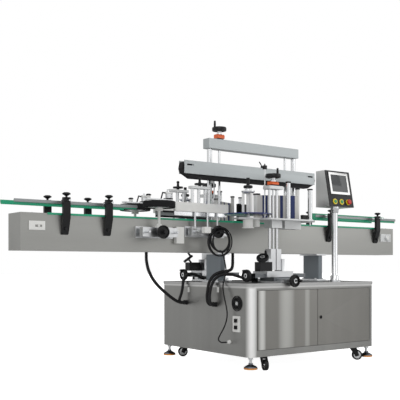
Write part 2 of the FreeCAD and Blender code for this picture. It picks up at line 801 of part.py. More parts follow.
def separator_unit(side):
    """Carriage, spindle of the sponge wheel, arm above it, gear motor and its cap."""
    x = separator_x
    y = side * separator_offset
    block = carriage_block(-795, -553, separator_screw_z, 27, separator_offset, separator_rods,
                           separator_screw_x, side)
    top = separator_screw_z + 27
    collar = turned([(0, 0), (22, 0), (22, 8), (14, 22), (0, 22)], (x, y, top), (0, 0, 1))
    wheel_top = sponge_wheel_bottom + sponge_wheel_width
    spindle = rod((x, y, top), (x, y, wheel_top + 14), spindle_diameter)
    seat = rod((x, y, sponge_wheel_bottom - 18), (x, y, sponge_wheel_bottom - seat_gap), 44)
    arm = box(x - 86, x + 80, y - 14, y + 14, wheel_top + 6, wheel_top + 14)
    cap_x = x + (front_cap_offset if side < 0 else rear_cap_offset)
    cap_post = rod((cap_x, y, wheel_top + 14), (cap_x, y, wheel_top + 30), 22)
    cap = turned([(0, 0), (15.5, 0), (15.5, 5), (10, 9), (0, 9)], (cap_x, y, wheel_top + 30), (0, 0, 1))
    flange = rod((x + 64, y, wheel_top + 14), (x + 64, y, wheel_top + 20), 56)
    motor = turned([(0, 0), (17, 0), (17, 26), (21, 26), (21, 34), (14, 39), (5, 40), (5, 50), (0, 50)],
                   (x + 64, y, wheel_top + 20), (0, 0, 1))
    lever = joined([rod((x + 60, y, wheel_top + 50), (x + 24, y, wheel_top + 52), 8),
                    rod((x + 26, y, wheel_top + 54), (x + 12, y, wheel_top + 10), 8)])
    return joined([block, collar, spindle, seat, arm, cap_post, cap, flange, motor, lever])


spindle_diameter = 16.0


def sponge_wheel(side):
    r = sponge_wheel_diameter / 2
    h = sponge_wheel_width
    bore = spindle_diameter / 2 + running_fit
    profile = [(bore, 0), (34, 0), (36, 4), (r - 10, 4), (r - 8, 0), (r - 3, 0), (r, 4), (r, h - 4), (r - 3, h),
               (r - 30, h), (r - 34, h - 5), (36, h - 5), (34, h), (bore, h)]
    return turned(profile, (separator_x, side * separator_offset, sponge_wheel_bottom), (0, 0, 1))


def centring_guide(side):
    """Carriage, three posts, the white guide bar and its height clamp with a star knob."""
    y = side * centring_offset
    carriage_offset = centring_offset + 12
    block = carriage_block(-446, -172, centring_screw_z, 24, carriage_offset, centring_rods,
                           centring_screw_x, side)
    half = centring_bar_thickness / 2
    bar_top = centring_bar_bottom + centring_bar_height
    bar = rounded_plate(centring_left, centring_right, y - half, y + half, centring_bar_bottom, bar_top, 8)
    lane_face = side * (centring_offset - half)
    strip_low = centring_bar_bottom - lane_strip_drop
    pieces = [block, bar]
    pieces.append(box(centring_left + 6, centring_right - 6, lane_face - side * 4, lane_face + side,
                      strip_low, strip_low + lane_strip_height))
    for z in (strip_low, strip_low + lane_strip_height - lane_rib_height):
        pieces.append(box(centring_left + 6, centring_right - 6, lane_face - side * 7, lane_face - side * 3,
                          z, z + lane_rib_height))
    for x in (-400, -305, -229):
        pieces.append(rod((x, y, centring_screw_z + 20), (x, y, centring_bar_bottom + 2), 14))
    frame_y = side * (centring_offset + 2)
    plate_bottom = 1093.0
    plate_x = -366.0
    for dx, width in ((-54, 20), (-6, 20), (46, 26)):
        pieces.append(rod((plate_x + dx, y, bar_top - 2), (plate_x + dx, y, plate_bottom + 2), width))
    pieces.append(rounded_plate(plate_x - 74, plate_x + 72, frame_y - 22, frame_y + 22, plate_bottom,
                                plate_bottom + 15, 8))
    knob = turned([(0, 0), (9, 0), (9, 8), (32, 10), (32, 20), (9, 22), (7, 40), (10, 48), (7, 56), (0, 56)],
                  (plate_x, frame_y, plate_bottom + 15), (0, 0, 1))
    pieces.append(knob)
    return joined(pieces)


# Top press

def press_frame():
    y = column_offset
    pieces = []
    bore = press_screw_diameter + 2 * running_fit
    beam = box(top_beam_left, top_beam_right, y - top_beam_size / 2, y + top_beam_size / 2,
               top_beam_bottom, top_beam_bottom + top_beam_size)
    screw_x = column_left_x + press_screw_offset
    beam = beam.cut(rod((screw_x, y, top_beam_bottom - 1), (screw_x, y, top_beam_bottom + top_beam_size + 1), bore))
    pieces.append(beam)
    for x in (column_left_x, column_right_x):
        pieces.append(rod((x, y, beam_top - 120), (x, y, top_beam_bottom), column_diameter))
        shoe = box(x - 34, x + 34, beam_side, y + 34, beam_top - 120, beam_top - 40)
        pieces.append(shoe.cut(rod((x, y, beam_top - 121), (x, y, beam_top), column_diameter)))
    far_screw = column_right_x - press_screw_offset
    pieces.append(rod((far_screw, y, press_bottom - 170), (far_screw, y, top_beam_bottom), press_screw_diameter))
    top = top_beam_bottom + top_beam_size
    pieces.append(indicator(screw_x, y, top, press_indicator_height, bore))
    return group(pieces)


def indicator(x, y, bottom, height, bore):
    """Position indicator: a narrower base, the counter housing and its sloping window."""
    w = indicator_width / 2
    d = indicator_depth / 2
    base = rounded_plate(x - w + 4, x + w - 4, y - d + 4, y + d - 4, bottom, bottom + indicator_base_height, 4)
    low = bottom + indicator_base_height - 1
    side = [(x - w, y - d, low), (x - w, y + d, low), (x - w, y + d, bottom + height),
            (x - w, y - d + 8, bottom + height), (x - w, y - d, bottom + height - 8)]
    counter = extruded(side, (indicator_width, 0, 0))
    hole = rod((x, y, bottom - 1), (x, y, bottom + height + 1), bore)
    return joined([base, counter]).cut(hole)


def press_head():
    """Two long side plates, the padded belt between and below them, and the arms to the column sleeves."""
    half = press_width / 2
    top = press_bottom + press_height
    pieces = []
    for side in (-1, 1):
        plate = box(press_left, press_right, side * (half - press_plate), side * half, press_bottom, top)
        for x in (press_left + 45, press_right - 45):
            slot = box(x - 25, x + 25, side * (half - press_plate - 1), side * (half + 1), top - 32, top - 22)
            plate = plate.cut(slot)
        pieces.append(plate)
    core = box(press_left + 60, press_right - 60, -half + press_plate, half - press_plate, core_bottom, top - 6)
    pieces.append(core)
    y = column_offset
    for x, screw in ((column_left_x, press_screw_offset), (column_right_x, -press_screw_offset)):
        low = min(x - 34, x + screw - 20)
        high = max(x + 34, x + screw + 20)
        arm = box(low, high, half, y + 30, press_bottom + 4, top - 6)
        bores = [
            rod((x, y, press_bottom), (x, y, top), column_diameter + 2 * running_fit),
            rod((x + screw, y, press_bottom), (x + screw, y, top), press_screw_diameter + 4 * running_fit),
        ]
        pieces.append(arm.cut(Part.makeCompound(bores)))
    frame = joined(pieces)
    return group([frame, press_belt()])


def press_belt():
    half = belt_width / 2
    low = press_bottom - belt_drop
    mid = core_bottom - seat_gap
    nose = press_bottom + press_height - 12
    outline = [(press_left + 58, low), (press_right - 58, low), (press_right + 4, press_bottom + 6),
               (press_right + 12, press_bottom + 30), (press_right + 4, nose), (press_right - 58, nose),
               (press_right - 58, mid), (press_left + 58, mid), (press_left + 58, nose), (press_left - 4, nose),
               (press_left - 12, press_bottom + 30), (press_left - 4, press_bottom + 6)]
    return extruded([(x, -half, z) for x, z in outline], (0, belt_width, 0))


def press_crank():
    screw_x = column_left_x + press_screw_offset
    top = top_beam_bottom + top_beam_size + press_indicator_height
    return crank(screw_x, column_offset, press_bottom - 170, top, press_wheel_diameter, press_screw_diameter, 180)


def crank(x, y, screw_bottom, top, diameter, screw_diameter, angle):
    """Lead screw with a collar, a dished wheel and an upright turning handle at its top."""
    wheel = handwheel((x, y, top + 24), (0, 0, 1), diameter, 24, 5, screw_diameter, 52)
    wheel.rotate(V(x, y, 0), V(0, 0, 1), angle)
    screw = rod((x, y, screw_bottom), (x, y, top + 24), screw_diameter)
    collar = turned([(0, 0), (17, 0), (17, 9), (12, 12), (12, 24), (0, 24)], (x, y, top + seat_gap), (0, 0, 1))
    return joined([wheel, screw, collar])


# Labelling heads

def head_saddle():
    x0 = base_x - way_width / 2
    x1 = base_x + way_width / 2
    y0 = head_y - saddle_length / 2
    y1 = head_y + saddle_length / 2
    block = box(x0 - 22, x1 + 22, y0, y1, table_top + 10, cross_way_bottom)
    channel = box(x0 - running_fit, x1 + running_fit, y0 - 1, y1 + 1, table_top + 9, base_top + running_fit)
    way = box(cross_way_left, cross_way_right, head_y - way_width / 2, head_y + way_width / 2,
              cross_way_bottom, cross_way_top)
    end_plate = box(cross_way_left - 8, cross_way_left, head_y - way_width / 2, head_y + way_width / 2,
                    cross_way_bottom - 2, cross_way_top + 2)
    bore = rod((cross_way_left - 9, head_y, x_wheel_z), (cross_way_left + 60, head_y, x_wheel_z),
               12 + 2 * running_fit)
    return joined([block.cut(channel), way, end_plate]).cut(bore)


x_wheel_z = cross_way_bottom + cross_way_height / 2


def head_table():
    """Table sliding along the cross way, with the two cheeks that carry the mast pivot."""
    y0 = head_y - way_width / 2
    y1 = head_y + way_width / 2
    left = head_x - clamp_half - cheek_thickness - 42
    right = head_x + clamp_half + cheek_thickness + 42
    block = box(left, right, y0 - 16, y1 + 16, cross_way_bottom + 4, table_plate_top)
    channel = box(left - 1, right + 1, y0 - running_fit, y1 + running_fit, cross_way_bottom + 3,
                  cross_way_top + running_fit)
    pieces = [block.cut(channel)]
    for side in (-1, 1):
        x_in = head_x + side * (clamp_half + seat_gap)
        x_out = x_in + side * cheek_thickness
        pieces.append(box(x_in, x_out, head_y - 34, head_y + 34, table_plate_top - 1, pivot_z + 26))
    gear_right = head_x - clamp_half - cheek_thickness
    gear_front = head_y - 62
    pieces.append(box(gear_right - 94, gear_right + 2, gear_front, gear_front + 52, table_plate_top - 1,
                      table_plate_top + 56))
    table = joined(pieces)
    pin = rod((gear_right - 1, head_y, pivot_z), (head_x + clamp_half + cheek_thickness + 1, head_y, pivot_z),
              pivot_diameter + 2 * running_fit)
    return table.cut(pin).cut(tilt_bore())


tilt_wheel_place = (head_x - 137, head_y - 58, table_plate_top + 81)
tilt_direction = (-0.487, -0.355, 0.798)


def tilt_point(distance):
    return tuple(a + distance * b for a, b in zip(tilt_wheel_place, tilt_direction))


def tilt_bore():
    return rod(tilt_point(-70), tilt_point(-20), 12 + 2 * running_fit)


def head_mast():
    """Clamp block with its pivot stubs, two columns and the top plate with its position dial."""
    low = table_plate_top + 6
    block = box(head_x - clamp_half, head_x + clamp_half, head_y - clamp_depth, head_y + clamp_depth,
                low, low + clamp_height)
    split = box(head_x - 3, head_x + 3, head_y - clamp_depth - 1, head_y - clamp_depth + 16, low - 1,
                low + clamp_height + 1)
    block = block.cut(split)
    pins = []
    for side in (-1, 1):
        x_in = head_x + side * (clamp_half - 5)
        pins.append(rod((x_in, head_y, pivot_z), (head_x + side * (clamp_half + cheek_thickness - 1), head_y, pivot_z),
                        pivot_diameter))
    columns = []
    for side in (-1, 1):
        x = head_x + side * mast_column_spacing / 2
        columns.append(rod((x, head_y, low + 40), (x, head_y, mast_top + 10), mast_column_diameter))
    plate = rounded_plate(head_x - 58, head_x + 58, head_y - 34, head_y + 34, mast_top,
                          mast_top + mast_plate_thickness, 8)
    mast = joined([block, plate] + pins + columns)
    top = mast_top + mast_plate_thickness
    bore_diameter = lift_screw_diameter + 2 * running_fit
    bore = rod((head_x, head_y, low + clamp_height - 30), (head_x, head_y, top + 1), bore_diameter)
    return group([mast.cut(bore), indicator(head_x, head_y, top, head_indicator_height, bore_diameter)])


def lift_crank():
    low = table_plate_top + 6 + clamp_height - 25
    top = mast_top + mast_plate_thickness + head_indicator_height
    return crank(head_x, head_y, low, top, lift_wheel_diameter, lift_screw_diameter, 0)


def x_handwheel():
    return handwheel((cross_way_left - 26, head_y, x_wheel_z), (-1, 0, 0), small_wheel_diameter, 18, 66, 12, 30)


def y_handwheel():
    return handwheel((base_x, base_front - 30, y_wheel_z), (0, -1, 0), small_wheel_diameter, 18, 66, y_shaft_diameter,
                     30)


def tilt_handwheel():
    return handwheel(tilt_point(-8), tilt_direction, small_wheel_diameter, 16, 54, 12, 34)


def head_deck():
    """Deck plate on its column carriage, with drives below it and idle rollers on it."""
    top = deck_z + deck_thickness
    arm_front = head_y - deck_arm_half
    arm_back = head_y + deck_arm_half
    outline = [(deck_left, arm_front + 25, deck_z), (deck_left + 25, arm_front, deck_z),
               (deck_step_x, arm_front, deck_z), (deck_step_x + deck_step, deck_front, deck_z),
               (deck_right - 70, deck_front, deck_z), (deck_right, deck_front + 60, deck_z),
               (deck_right, deck_back, deck_z), (deck_step_x + deck_step, deck_back, deck_z),
               (deck_step_x, arm_back, deck_z), (deck_left + 25, arm_back, deck_z),
               (deck_left, arm_back - 25, deck_z)]
    plate = extruded(outline, (0, 0, deck_thickness))
    carriage = box(head_x - clamp_half, head_x + clamp_half, head_y - 36, head_y + 36, deck_z - 46, deck_z)
    pieces = [plate, carriage]
    pieces.append(rod((reel_x, head_y, deck_z - 46), (reel_x, head_y, deck_z), 62))
    pieces.append(rod((reel_x, head_y, deck_z - 52), (reel_x, head_y, deck_z - 46), 74))
    pieces.append(rod((reel_x + 82, head_y + 20, deck_z - 40), (reel_x + 82, head_y + 20, deck_z), 44))
    pieces.append(box(head_x + 62, head_x + 200, head_y - 40, head_y + 30, deck_z - 50, deck_z))
    for x, y, diameter, height in deck_rollers:
        pieces.append(rod((x, y, top - 1), (x, y, top + 3), diameter + 6))
        pieces.append(rod((x, y, top + 2), (x, y, top + height), diameter))
        pieces.append(rod((x, y, top + height), (x, y, top + height + 9), diameter + 6))
    pieces.append(box(head_x + 224, head_x + 246, head_y + 24, head_y + 52, top - 1, top + 150))
    pieces.append(box(head_x + 232, head_x + 262, head_y + 62, head_y + 100, top - 1, top + 142))
    pieces.append(box(drive_roller_x - 76, drive_roller_x - 42, roller_y - 12, roller_y + 8, top - 1, top + 34))
    pieces.append(sensor_post(top))
    deck = joined(pieces)
    cuts = []
    for side in (-1, 1):
        x = head_x + side * mast_column_spacing / 2
        cuts.append(rod((x, head_y, deck_z - 60), (x, head_y, top + 5), mast_column_diameter + 2 * running_fit))
    cuts.append(rod((head_x, head_y, deck_z - 60), (head_x, head_y, top + 5), lift_screw_diameter + 4 * running_fit))
    cuts.append(rod((reel_x, head_y, deck_z - 20), (reel_x, head_y, top + 5), reel_spindle + 2 * running_fit))
    cuts.append(rod((drive_roller_x, roller_y, deck_z - 20), (drive_roller_x, roller_y, top + 5),
                    12 + 2 * running_fit))
    return group([deck.cut(Part.makeCompound(cuts)), label_web(top)])


def sensor_post(top):
    """Thin rod with a split clamp, a cross rod and its locking lever."""
    x = sensor_post_x
    y = sensor_post_y
    z = top + sensor_post_height
    post = turned([(0, -1), (11, -1), (11, 12), (4, 14), (4, sensor_post_height), (0, sensor_post_height)],
                  (x, y, top), (0, 0, 1))
    clamp = box(x - 11, x + 11, y - 9, y + 9, z - 34, z - 10)
    cross = rod((x - 8, y, z - 22), (x - 30, y, z - 22), 12)
    lever = rod((x - 24, y - 4, z - 22), (x - 62, y - 20, z + 4), 7)
    return joined([post, clamp, cross, lever])


def label_web(top):
    """Label web running between the wide idle roller and the second roller, clear of both."""
    wide = deck_rollers[2]
    narrow = deck_rollers[1]
    clear = seat_gap + web_thickness / 2
    run = V(narrow[0] - wide[0], narrow[1] - wide[1], 0)
    side = V(run.y, -run.x, 0).normalize()
    start = V(wide[0], wide[1], top + 6) + side * (wide[2] / 2 + clear)
    end = V(narrow[0], narrow[1], top + 6) + side * (narrow[2] / 2 + clear)
    half = side * (web_thickness / 2)
    corners = [start - half, end - half, end + half, start + half]
    return extruded([tuple(c) for c in corners], (0, 0, web_height))


roller_y = head_y - 20.0
deck_rollers = (
    (151.0, -350.0, 30.0, 229.0),
    (251.0, -330.0, 24.0, 196.0),
    (17.0, -204.0, 40.0, 158.0),
)


def label_reel():
    """Flange disc, core posts, upper clamp plate and knob, turning on one spindle."""
    top = deck_z + deck_thickness
    disc_z = top + 18
    x = reel_x
    y = head_y
    pieces = [
        rod((x, y, deck_z - 15), (x, y, disc_z + 2), reel_spindle),
        rod((x, y, disc_z), (x, y, disc_z + 6), reel_diameter),
        rod((x, y, disc_z + 4), (x, y, disc_z + 224), 21),
        turned([(0, 0), (30, 0), (40, 8), (40, 15), (0, 15)], (x, y, disc_z + 130), (0, 0, 1)),
        turned([(0, 0), (20, 0), (20, 10), (0, 10)], (x, y, disc_z + 145), (0, 0, 1)),
    ]
    for turn in (30, 150, 270):
        dx = 30 * math.cos(math.radians(turn))
        dy = 30 * math.sin(math.radians(turn))
        pieces.append(rod((x + dx, y + dy, disc_z + 4), (x + dx, y + dy, disc_z + 130), 16))
    knob = [(0, 0), (24, 0), (28, 4), (28, 13), (24, 17), (0, 17)]
    pieces.append(turned(knob, (x, y, disc_z + 161), (0, 0, 1)))
    return joined(pieces)


def label_drive_roller():
    top = deck_z + deck_thickness
    x = drive_roller_x
    r = drive_roller_diameter / 2
    profile = [(0, -30), (6, -30), (6, 2), (r + 4, 2), (r + 4, 10), (r, 10), (r, label_height - 8),
               (r + 4, label_height - 8), (r + 4, label_height), (0, label_height)]
    return turned(profile, (x, roller_y, top), (0, 0, 1))


# Operator panel

panel_slope = math.atan2(panel_top_front - panel_front, panel_height)
panel_normal = (0.0, -math.cos(panel_slope), math.sin(panel_slope))
panel_up = (0.0, math.sin(panel_slope), math.cos(panel_slope))
panel_mid_x = (panel_left + panel_right) / 2
button_up = 32.0


def panel_point(x, up, out):
    """A point on the sloping front: x across, up along the slope, out along its normal."""
    return (x, panel_front + up * panel_up[1] + out * panel_normal[1],
            panel_bottom + up * panel_up[2] + out * panel_normal[2])


def panel_slab(x0, x1, up0, up1, out0, out1):
    corners = [panel_point(x0, up0, out0), panel_point(x1, up0, out0),
               panel_point(x1, up1, out0), panel_point(x0, up1, out0)]
    push = tuple((out1 - out0) * c for c in panel_normal)
    return extruded(corners, push)


def panel_post():
    profile = [(0, 0), (42, 0), (42, 10), (28, 12), (28, 40), (panel_post_diameter / 2, 42),
               (panel_post_diameter / 2, panel_bottom - table_top - 8), (0, panel_bottom - table_top - 8)]
    return turned(profile, (panel_post_x, panel_post_y, table_top), (0, 0, 1))


def panel_box():
    side = [(panel_left, panel_front, panel_bottom), (panel_left, panel_rear, panel_bottom),
            (panel_left, panel_rear, panel_bottom + panel_height),
            (panel_left, panel_top_front, panel_bottom + panel_height)]
    housing = extruded(side, (panel_right - panel_left, 0, 0))
    up_length = math.hypot(panel_height, panel_top_front - panel_front)
    frame = panel_slab(panel_left, panel_right, 0, up_length, 0, 4)
    bezel = panel_slab(panel_left + 24, panel_right - 24, 82, up_length - 12, 4, 9)
    window = panel_slab(panel_left + 40, panel_right - 40, 98, up_length - 28, 6, 12)
    sleeve = turned([(0, -40), (20, -40), (24, -36), (24, -24), (27, -20), (27, 1), (0, 1)],
                    (panel_post_x, panel_post_y, panel_bottom), (0, 0, 1))
    bores = [rod((panel_post_x, panel_post_y, panel_bottom - 41),
                 (panel_post_x, panel_post_y, panel_bottom - 8 + seat_gap), panel_post_diameter + 2 * running_fit)]
    rings = []
    for i in (-1, 0, 1):
        x = panel_mid_x + i * button_spacing
        rings.append(rod(panel_point(x, button_up, 3), panel_point(x, button_up, 9), button_diameter + 15))
        bores.append(rod(panel_point(x, button_up, -30), panel_point(x, button_up, 12),
                         button_diameter + 2 * running_fit))
    whole = joined([housing, frame, bezel, sleeve] + rings)
    return whole.cut(window).cut(Part.makeCompound(bores))


def panel_button(place, mushroom):
    x = panel_mid_x + place * button_spacing
    r = button_diameter / 2
    if mushroom:
        profile = [(0, -20), (r, -20), (r, 13), (r + 6, 15), (r + 6, 21), (r, 25), (0, 25)]
    else:
        profile = [(0, -20), (r, -20), (r, 12), (r - 2, 14), (0, 14)]
    return turned(profile, panel_point(x, button_up, 0), panel_normal)


# Conduits, power cord and its coil

def conduits():
    wall = cabinet_left - 12
    beam_drop = [
        (-664, 20, beam_bottom), (-664, 20, 660), (-646, 30, 606), (-606, 52, 556), (-550, 84, 512),
        (-482, 116, 470), (-410, 144, 430), (-350, 164, 400), (-306, 171, 386), (wall, 171, 386),
    ]
    rear_head = [
        (-38, 235, table_top + 18), (-76, 235, table_top + 18), (-128, 222, 556), (-188, 206, 574),
        (-242, 190, 568), (-281, 180, 534), (-288, 176, 486), (-294, 184, 440), (-304, 194, 404),
        (-292, 195, 386), (wall, 195, 386),
    ]
    front_head = [
        (-38, -235, table_top + 18), (-76, -235, table_top + 18), (-128, -214, 556), (-186, -184, 576),
        (-242, -160, 570), (-284, -148, 536), (-302, -142, 486), (-310, -142, 438), (-307, -142, 402),
        (-292, -142, 386), (wall, -142, 386),
    ]
    underside = [
        (-45, -40, beam_bottom), (-45, -40, 672), (-60, -58, 630), (-92, -88, 602), (-144, -108, 590),
        (-206, -116, 586), (-262, -118, 566), (-296, -118, 524), (-306, -118, 478), (-312, -118, 436),
        (-308, -118, 402), (-292, -118, 386), (wall, -118, 386),
    ]
    anchors = [box(-38, -14, y - 16, y + 16, table_top, table_top + 36) for y in (235, -235)]
    runs = [tube(points, conduit_diameter, "conduit") for points in (beam_drop, rear_head, front_head, underside)]
    return group(runs + anchors)


coil_x = centring_screw_x
coil_y = -side_wheel_y - 28
coil_z = centring_screw_z + hub_diameter / 2 + seat_gap - coil_inner


def cord_coil():
    """Outer shape of the hanging turns of the power cord, resting on the handwheel hub."""
    depth = coil_depth / 2
    profile = [(coil_inner, -depth), (coil_outer, -depth), (coil_outer, depth), (coil_inner, depth)]
    return turned(profile, (coil_x, coil_y, coil_z), (0, 1, 0))


def coil_rim(angle, radius):
    turn = math.radians(angle)
    return (coil_x + radius * math.cos(turn), coil_y, coil_z + radius * math.sin(turn))


def power_cord():
    wall = cabinet_left - gland_length
    points = [
        coil_rim(-72, coil_outer), coil_rim(-72, coil_outer + 42), (-236, -220, 592), (-262, -228, 548),
        (-284, -240, 500), (-292, -262, 444), (-292, -284, 386), (-290, -294, 336), (-292, -284, 288),
        (-298, -268, 250), (-314, -254, 212), (-332, -254, 184), (-326, -274, 167), (-302, gland_y, gland_z),
        (wall, gland_y, gland_z),
    ]
    return tube(points, cord_diameter, "power cord")


def power_plug():
    """Moulded plug tucked against the upper left of the coil."""
    low = plug_rise - plug_height / 2
    touch = coil_outer + plug_rounding + seat_gap
    right = coil_x - math.sqrt(touch ** 2 - (low + plug_rounding) ** 2) + plug_rounding
    body = box(right - plug_length, right, coil_y - plug_depth / 2, coil_y + plug_depth / 2,
               coil_z + low, coil_z + low + plug_height)
    edges = [e for e in body.Edges if abs(e.Vertexes[0].Y - e.Vertexes[1].Y) > 1e-6]
    return body.makeFillet(plug_rounding, edges)


nodes = {
    "cabinet_shell": cabinet_shell(),
    "cabinet_top": cabinet_top(),
    "door_left": door_left(),
    "door_right": door_right(),
    "end_wall_fittings": end_wall_fittings(),
    "levelling_feet": levelling_feet(),
    "caster_forks": caster_forks(),
    "conveyor_legs": conveyor_legs(),
    "conveyor_frame": group([conveyor_frame(), wear_strips()]),
    "slat_chain": slat_chain(),
    "drive_sprocket": drive_sprocket(),
    "side_mounts": group([rail_brackets(), adjuster_mounts()]),
    "rail_infeed_front": guide_rail(-conveyor_end - guide_front_overhang, infeed_front_end, -1, infeed_brackets),
    "rail_infeed_rear": guide_rail(-conveyor_end - guide_overhang, infeed_rear_end, 1, infeed_rear_brackets),
    "rail_outfeed_front": guide_rail(outfeed_front_start, conveyor_end + guide_overhang, -1, outfeed_brackets,
                                     outfeed_front_rise),
    "rail_outfeed_rear": guide_rail(outfeed_rear_start, conveyor_end + guide_overhang, 1, outfeed_rear_brackets,
                                    outfeed_rear_rise, outfeed_rear_strip_height, outfeed_rear_strip_end),
    "separator_front": separator_unit(-1),
    "separator_rear": separator_unit(1),
    "sponge_wheel_front": sponge_wheel(-1),
    "sponge_wheel_rear": sponge_wheel(1),
    "separator_handwheel": side_handwheel(separator_screw_x, separator_screw_z),
    "centring_guide_front": centring_guide(-1),
    "centring_guide_rear": centring_guide(1),
    "centring_handwheel": side_handwheel(centring_screw_x, centring_screw_z),
    "press_frame": press_frame(),
    "press_head": press_head(),
    "press_crank": press_crank(),
    "panel_post": panel_post(),
    "panel_box": panel_box(),
    "start_button": panel_button(-1, False),
    "reset_button": panel_button(0, False),
    "emergency_stop": panel_button(1, True),
    "conduits": conduits(),
    "power_cord": power_cord(),
    "cord_coil": cord_coil(),
    "power_plug": power_plug(),
}

for number, place in enumerate(caster_places, 1):
    nodes[f"caster_wheel_{number}"] = caster_wheel(place)

head_pieces = {
    "saddle": head_saddle, "table": head_table, "mast": head_mast, "deck": head_deck,
    "label_reel": label_reel, "label_roller": label_drive_roller, "x_handwheel": x_handwheel,
    "y_handwheel": y_handwheel, "tilt_handwheel": tilt_handwheel, "lift_crank": lift_crank,
}
for name, make in head_pieces.items():
    nodes[f"front_{name}"] = make()
    nodes[f"rear_{name}"] = mirrored(make())

os.makedirs("parts", exist_ok=True)
for name, shape in nodes.items():
    if not shape.isValid() or shape.Volume <= 0:
        raise ValueError(f"{name} is not a valid solid")
    shape.exportStep(f"parts/{name}.step")
print(len(nodes), "nodes written")
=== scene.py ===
import json
import math

import bmesh
import bpy
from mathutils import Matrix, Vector


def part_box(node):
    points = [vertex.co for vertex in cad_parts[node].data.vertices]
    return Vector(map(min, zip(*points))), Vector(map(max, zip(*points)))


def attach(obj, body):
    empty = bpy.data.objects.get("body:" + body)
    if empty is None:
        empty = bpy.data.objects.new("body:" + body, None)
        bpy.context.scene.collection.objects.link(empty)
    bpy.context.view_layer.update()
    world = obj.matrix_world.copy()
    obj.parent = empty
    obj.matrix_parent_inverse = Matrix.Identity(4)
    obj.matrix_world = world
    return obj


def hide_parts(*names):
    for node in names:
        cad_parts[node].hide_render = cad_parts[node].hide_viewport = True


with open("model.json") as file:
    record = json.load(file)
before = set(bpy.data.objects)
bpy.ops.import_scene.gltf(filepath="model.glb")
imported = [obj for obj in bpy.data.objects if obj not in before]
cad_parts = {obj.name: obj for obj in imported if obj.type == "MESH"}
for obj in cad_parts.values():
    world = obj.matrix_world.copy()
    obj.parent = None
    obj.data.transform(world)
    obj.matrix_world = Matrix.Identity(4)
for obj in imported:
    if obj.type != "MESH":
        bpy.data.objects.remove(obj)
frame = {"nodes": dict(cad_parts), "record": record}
nodes = frame["nodes"]
bodyOf = {node: body for body, members in frame["record"]["behaviour"]["bodies"].items() for node in members}
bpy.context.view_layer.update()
print("frame loaded:", len(nodes), "nodes")


# Shader maths as expressions on sockets

class Wire:
    def __init__(self, tree, socket):
        self.tree = tree
        self.socket = socket

    def maths(self, operation, other, flipped=False):
        made = self.tree.nodes.new("ShaderNodeMath")
        made.operation = operation
        order = (other, self) if flipped else (self, other)
        for slot, value in zip(made.inputs, order):
            if isinstance(value, Wire):
                self.tree.links.new(value.socket, slot)
            else:
                slot.default_value = value
        return Wire(self.tree, made.outputs[0])

    def __add__(self, other):
        return self.maths("ADD", other)

    def __sub__(self, other):
        return self.maths("SUBTRACT", other)

    def __rsub__(self, other):
        return self.maths("SUBTRACT", other, True)

    def __mul__(self, other):
        return self.maths("MULTIPLY", other)

    def __lt__(self, other):
        return self.maths("LESS_THAN", other)

    def __gt__(self, other):
        return self.maths("GREATER_THAN", other)

    __radd__ = __add__
    __rmul__ = __mul__


class Finish:
    def __init__(self, name, color, roughness, metallic=0.0):
        self.material = bpy.data.materials.new(name)
        self.material.use_nodes = True
        self.tree = self.material.node_tree
        self.bsdf = self.tree.nodes["Principled BSDF"]
        self.color = color
        self.put("Base Color", (*color, 1.0))
        self.put("Roughness", roughness)
        self.put("Metallic", metallic)

    def put(self, socket, value, node=None):
        slot = (node or self.bsdf).inputs[socket]
        if isinstance(value, Wire):
            self.tree.links.new(value.socket, slot)
        else:
            slot.default_value = value

    def node(self, kind, settings=None, inputs=None, output=0):
        made = self.tree.nodes.new("ShaderNode" + kind)
        for key, value in (settings or {}).items():
            setattr(made, key, value)
        for key, value in (inputs or {}).items():
            self.put(key, value, made)
        return Wire(self.tree, made.outputs[output])

    def place(self, scale=(1, 1, 1)):
        at = self.node("TexCoord", output="Object")
        return self.node("Mapping", inputs={"Vector": at, "Scale": scale})

    def noise(self, scale, stretch=(1, 1, 1), detail=3.0, rough=0.55):
        return self.node("TexNoise", inputs={"Vector": self.place(stretch), "Scale": scale, "Detail": detail,
                                             "Roughness": rough}, output="Fac")

    def shade(self, mask, low, high):
        dark = tuple(c * low for c in self.color) + (1.0,)
        light = tuple(min(1.0, c * high) for c in self.color) + (1.0,)
        mixed = self.node("Mix", {"data_type": "RGBA"}, {0: mask, 6: dark, 7: light}, output=2)
        self.put("Base Color", mixed)

    def tint(self, mask, color):
        slot = self.bsdf.inputs["Base Color"]
        current = Wire(self.tree, slot.links[0].from_socket) if slot.is_linked else tuple(slot.default_value)
        mixed = self.node("Mix", {"data_type": "RGBA"}, {0: mask, 6: current, 7: (*color, 1.0)}, output=2)
        self.put("Base Color", mixed)

    def axis(self, letter):
        at = self.node("TexCoord", output="Object")
        return self.node("SeparateXYZ", inputs={"Vector": at}, output="XYZ".index(letter))

    def bell(self, letter, middle, reach):
        off = self.axis(letter) - middle
        return (1 - off * off * (1 / reach ** 2)).maths("MAXIMUM", 0.0)

    def between(self, letter, low, high):
        return (self.axis(letter) > low) * (self.axis(letter) < high)

    def bump(self, height, strength, distance):
        made = self.node("Bump", inputs={"Height": height, "Strength": strength, "Distance": distance})
        self.put("Normal", made)


# Finishes

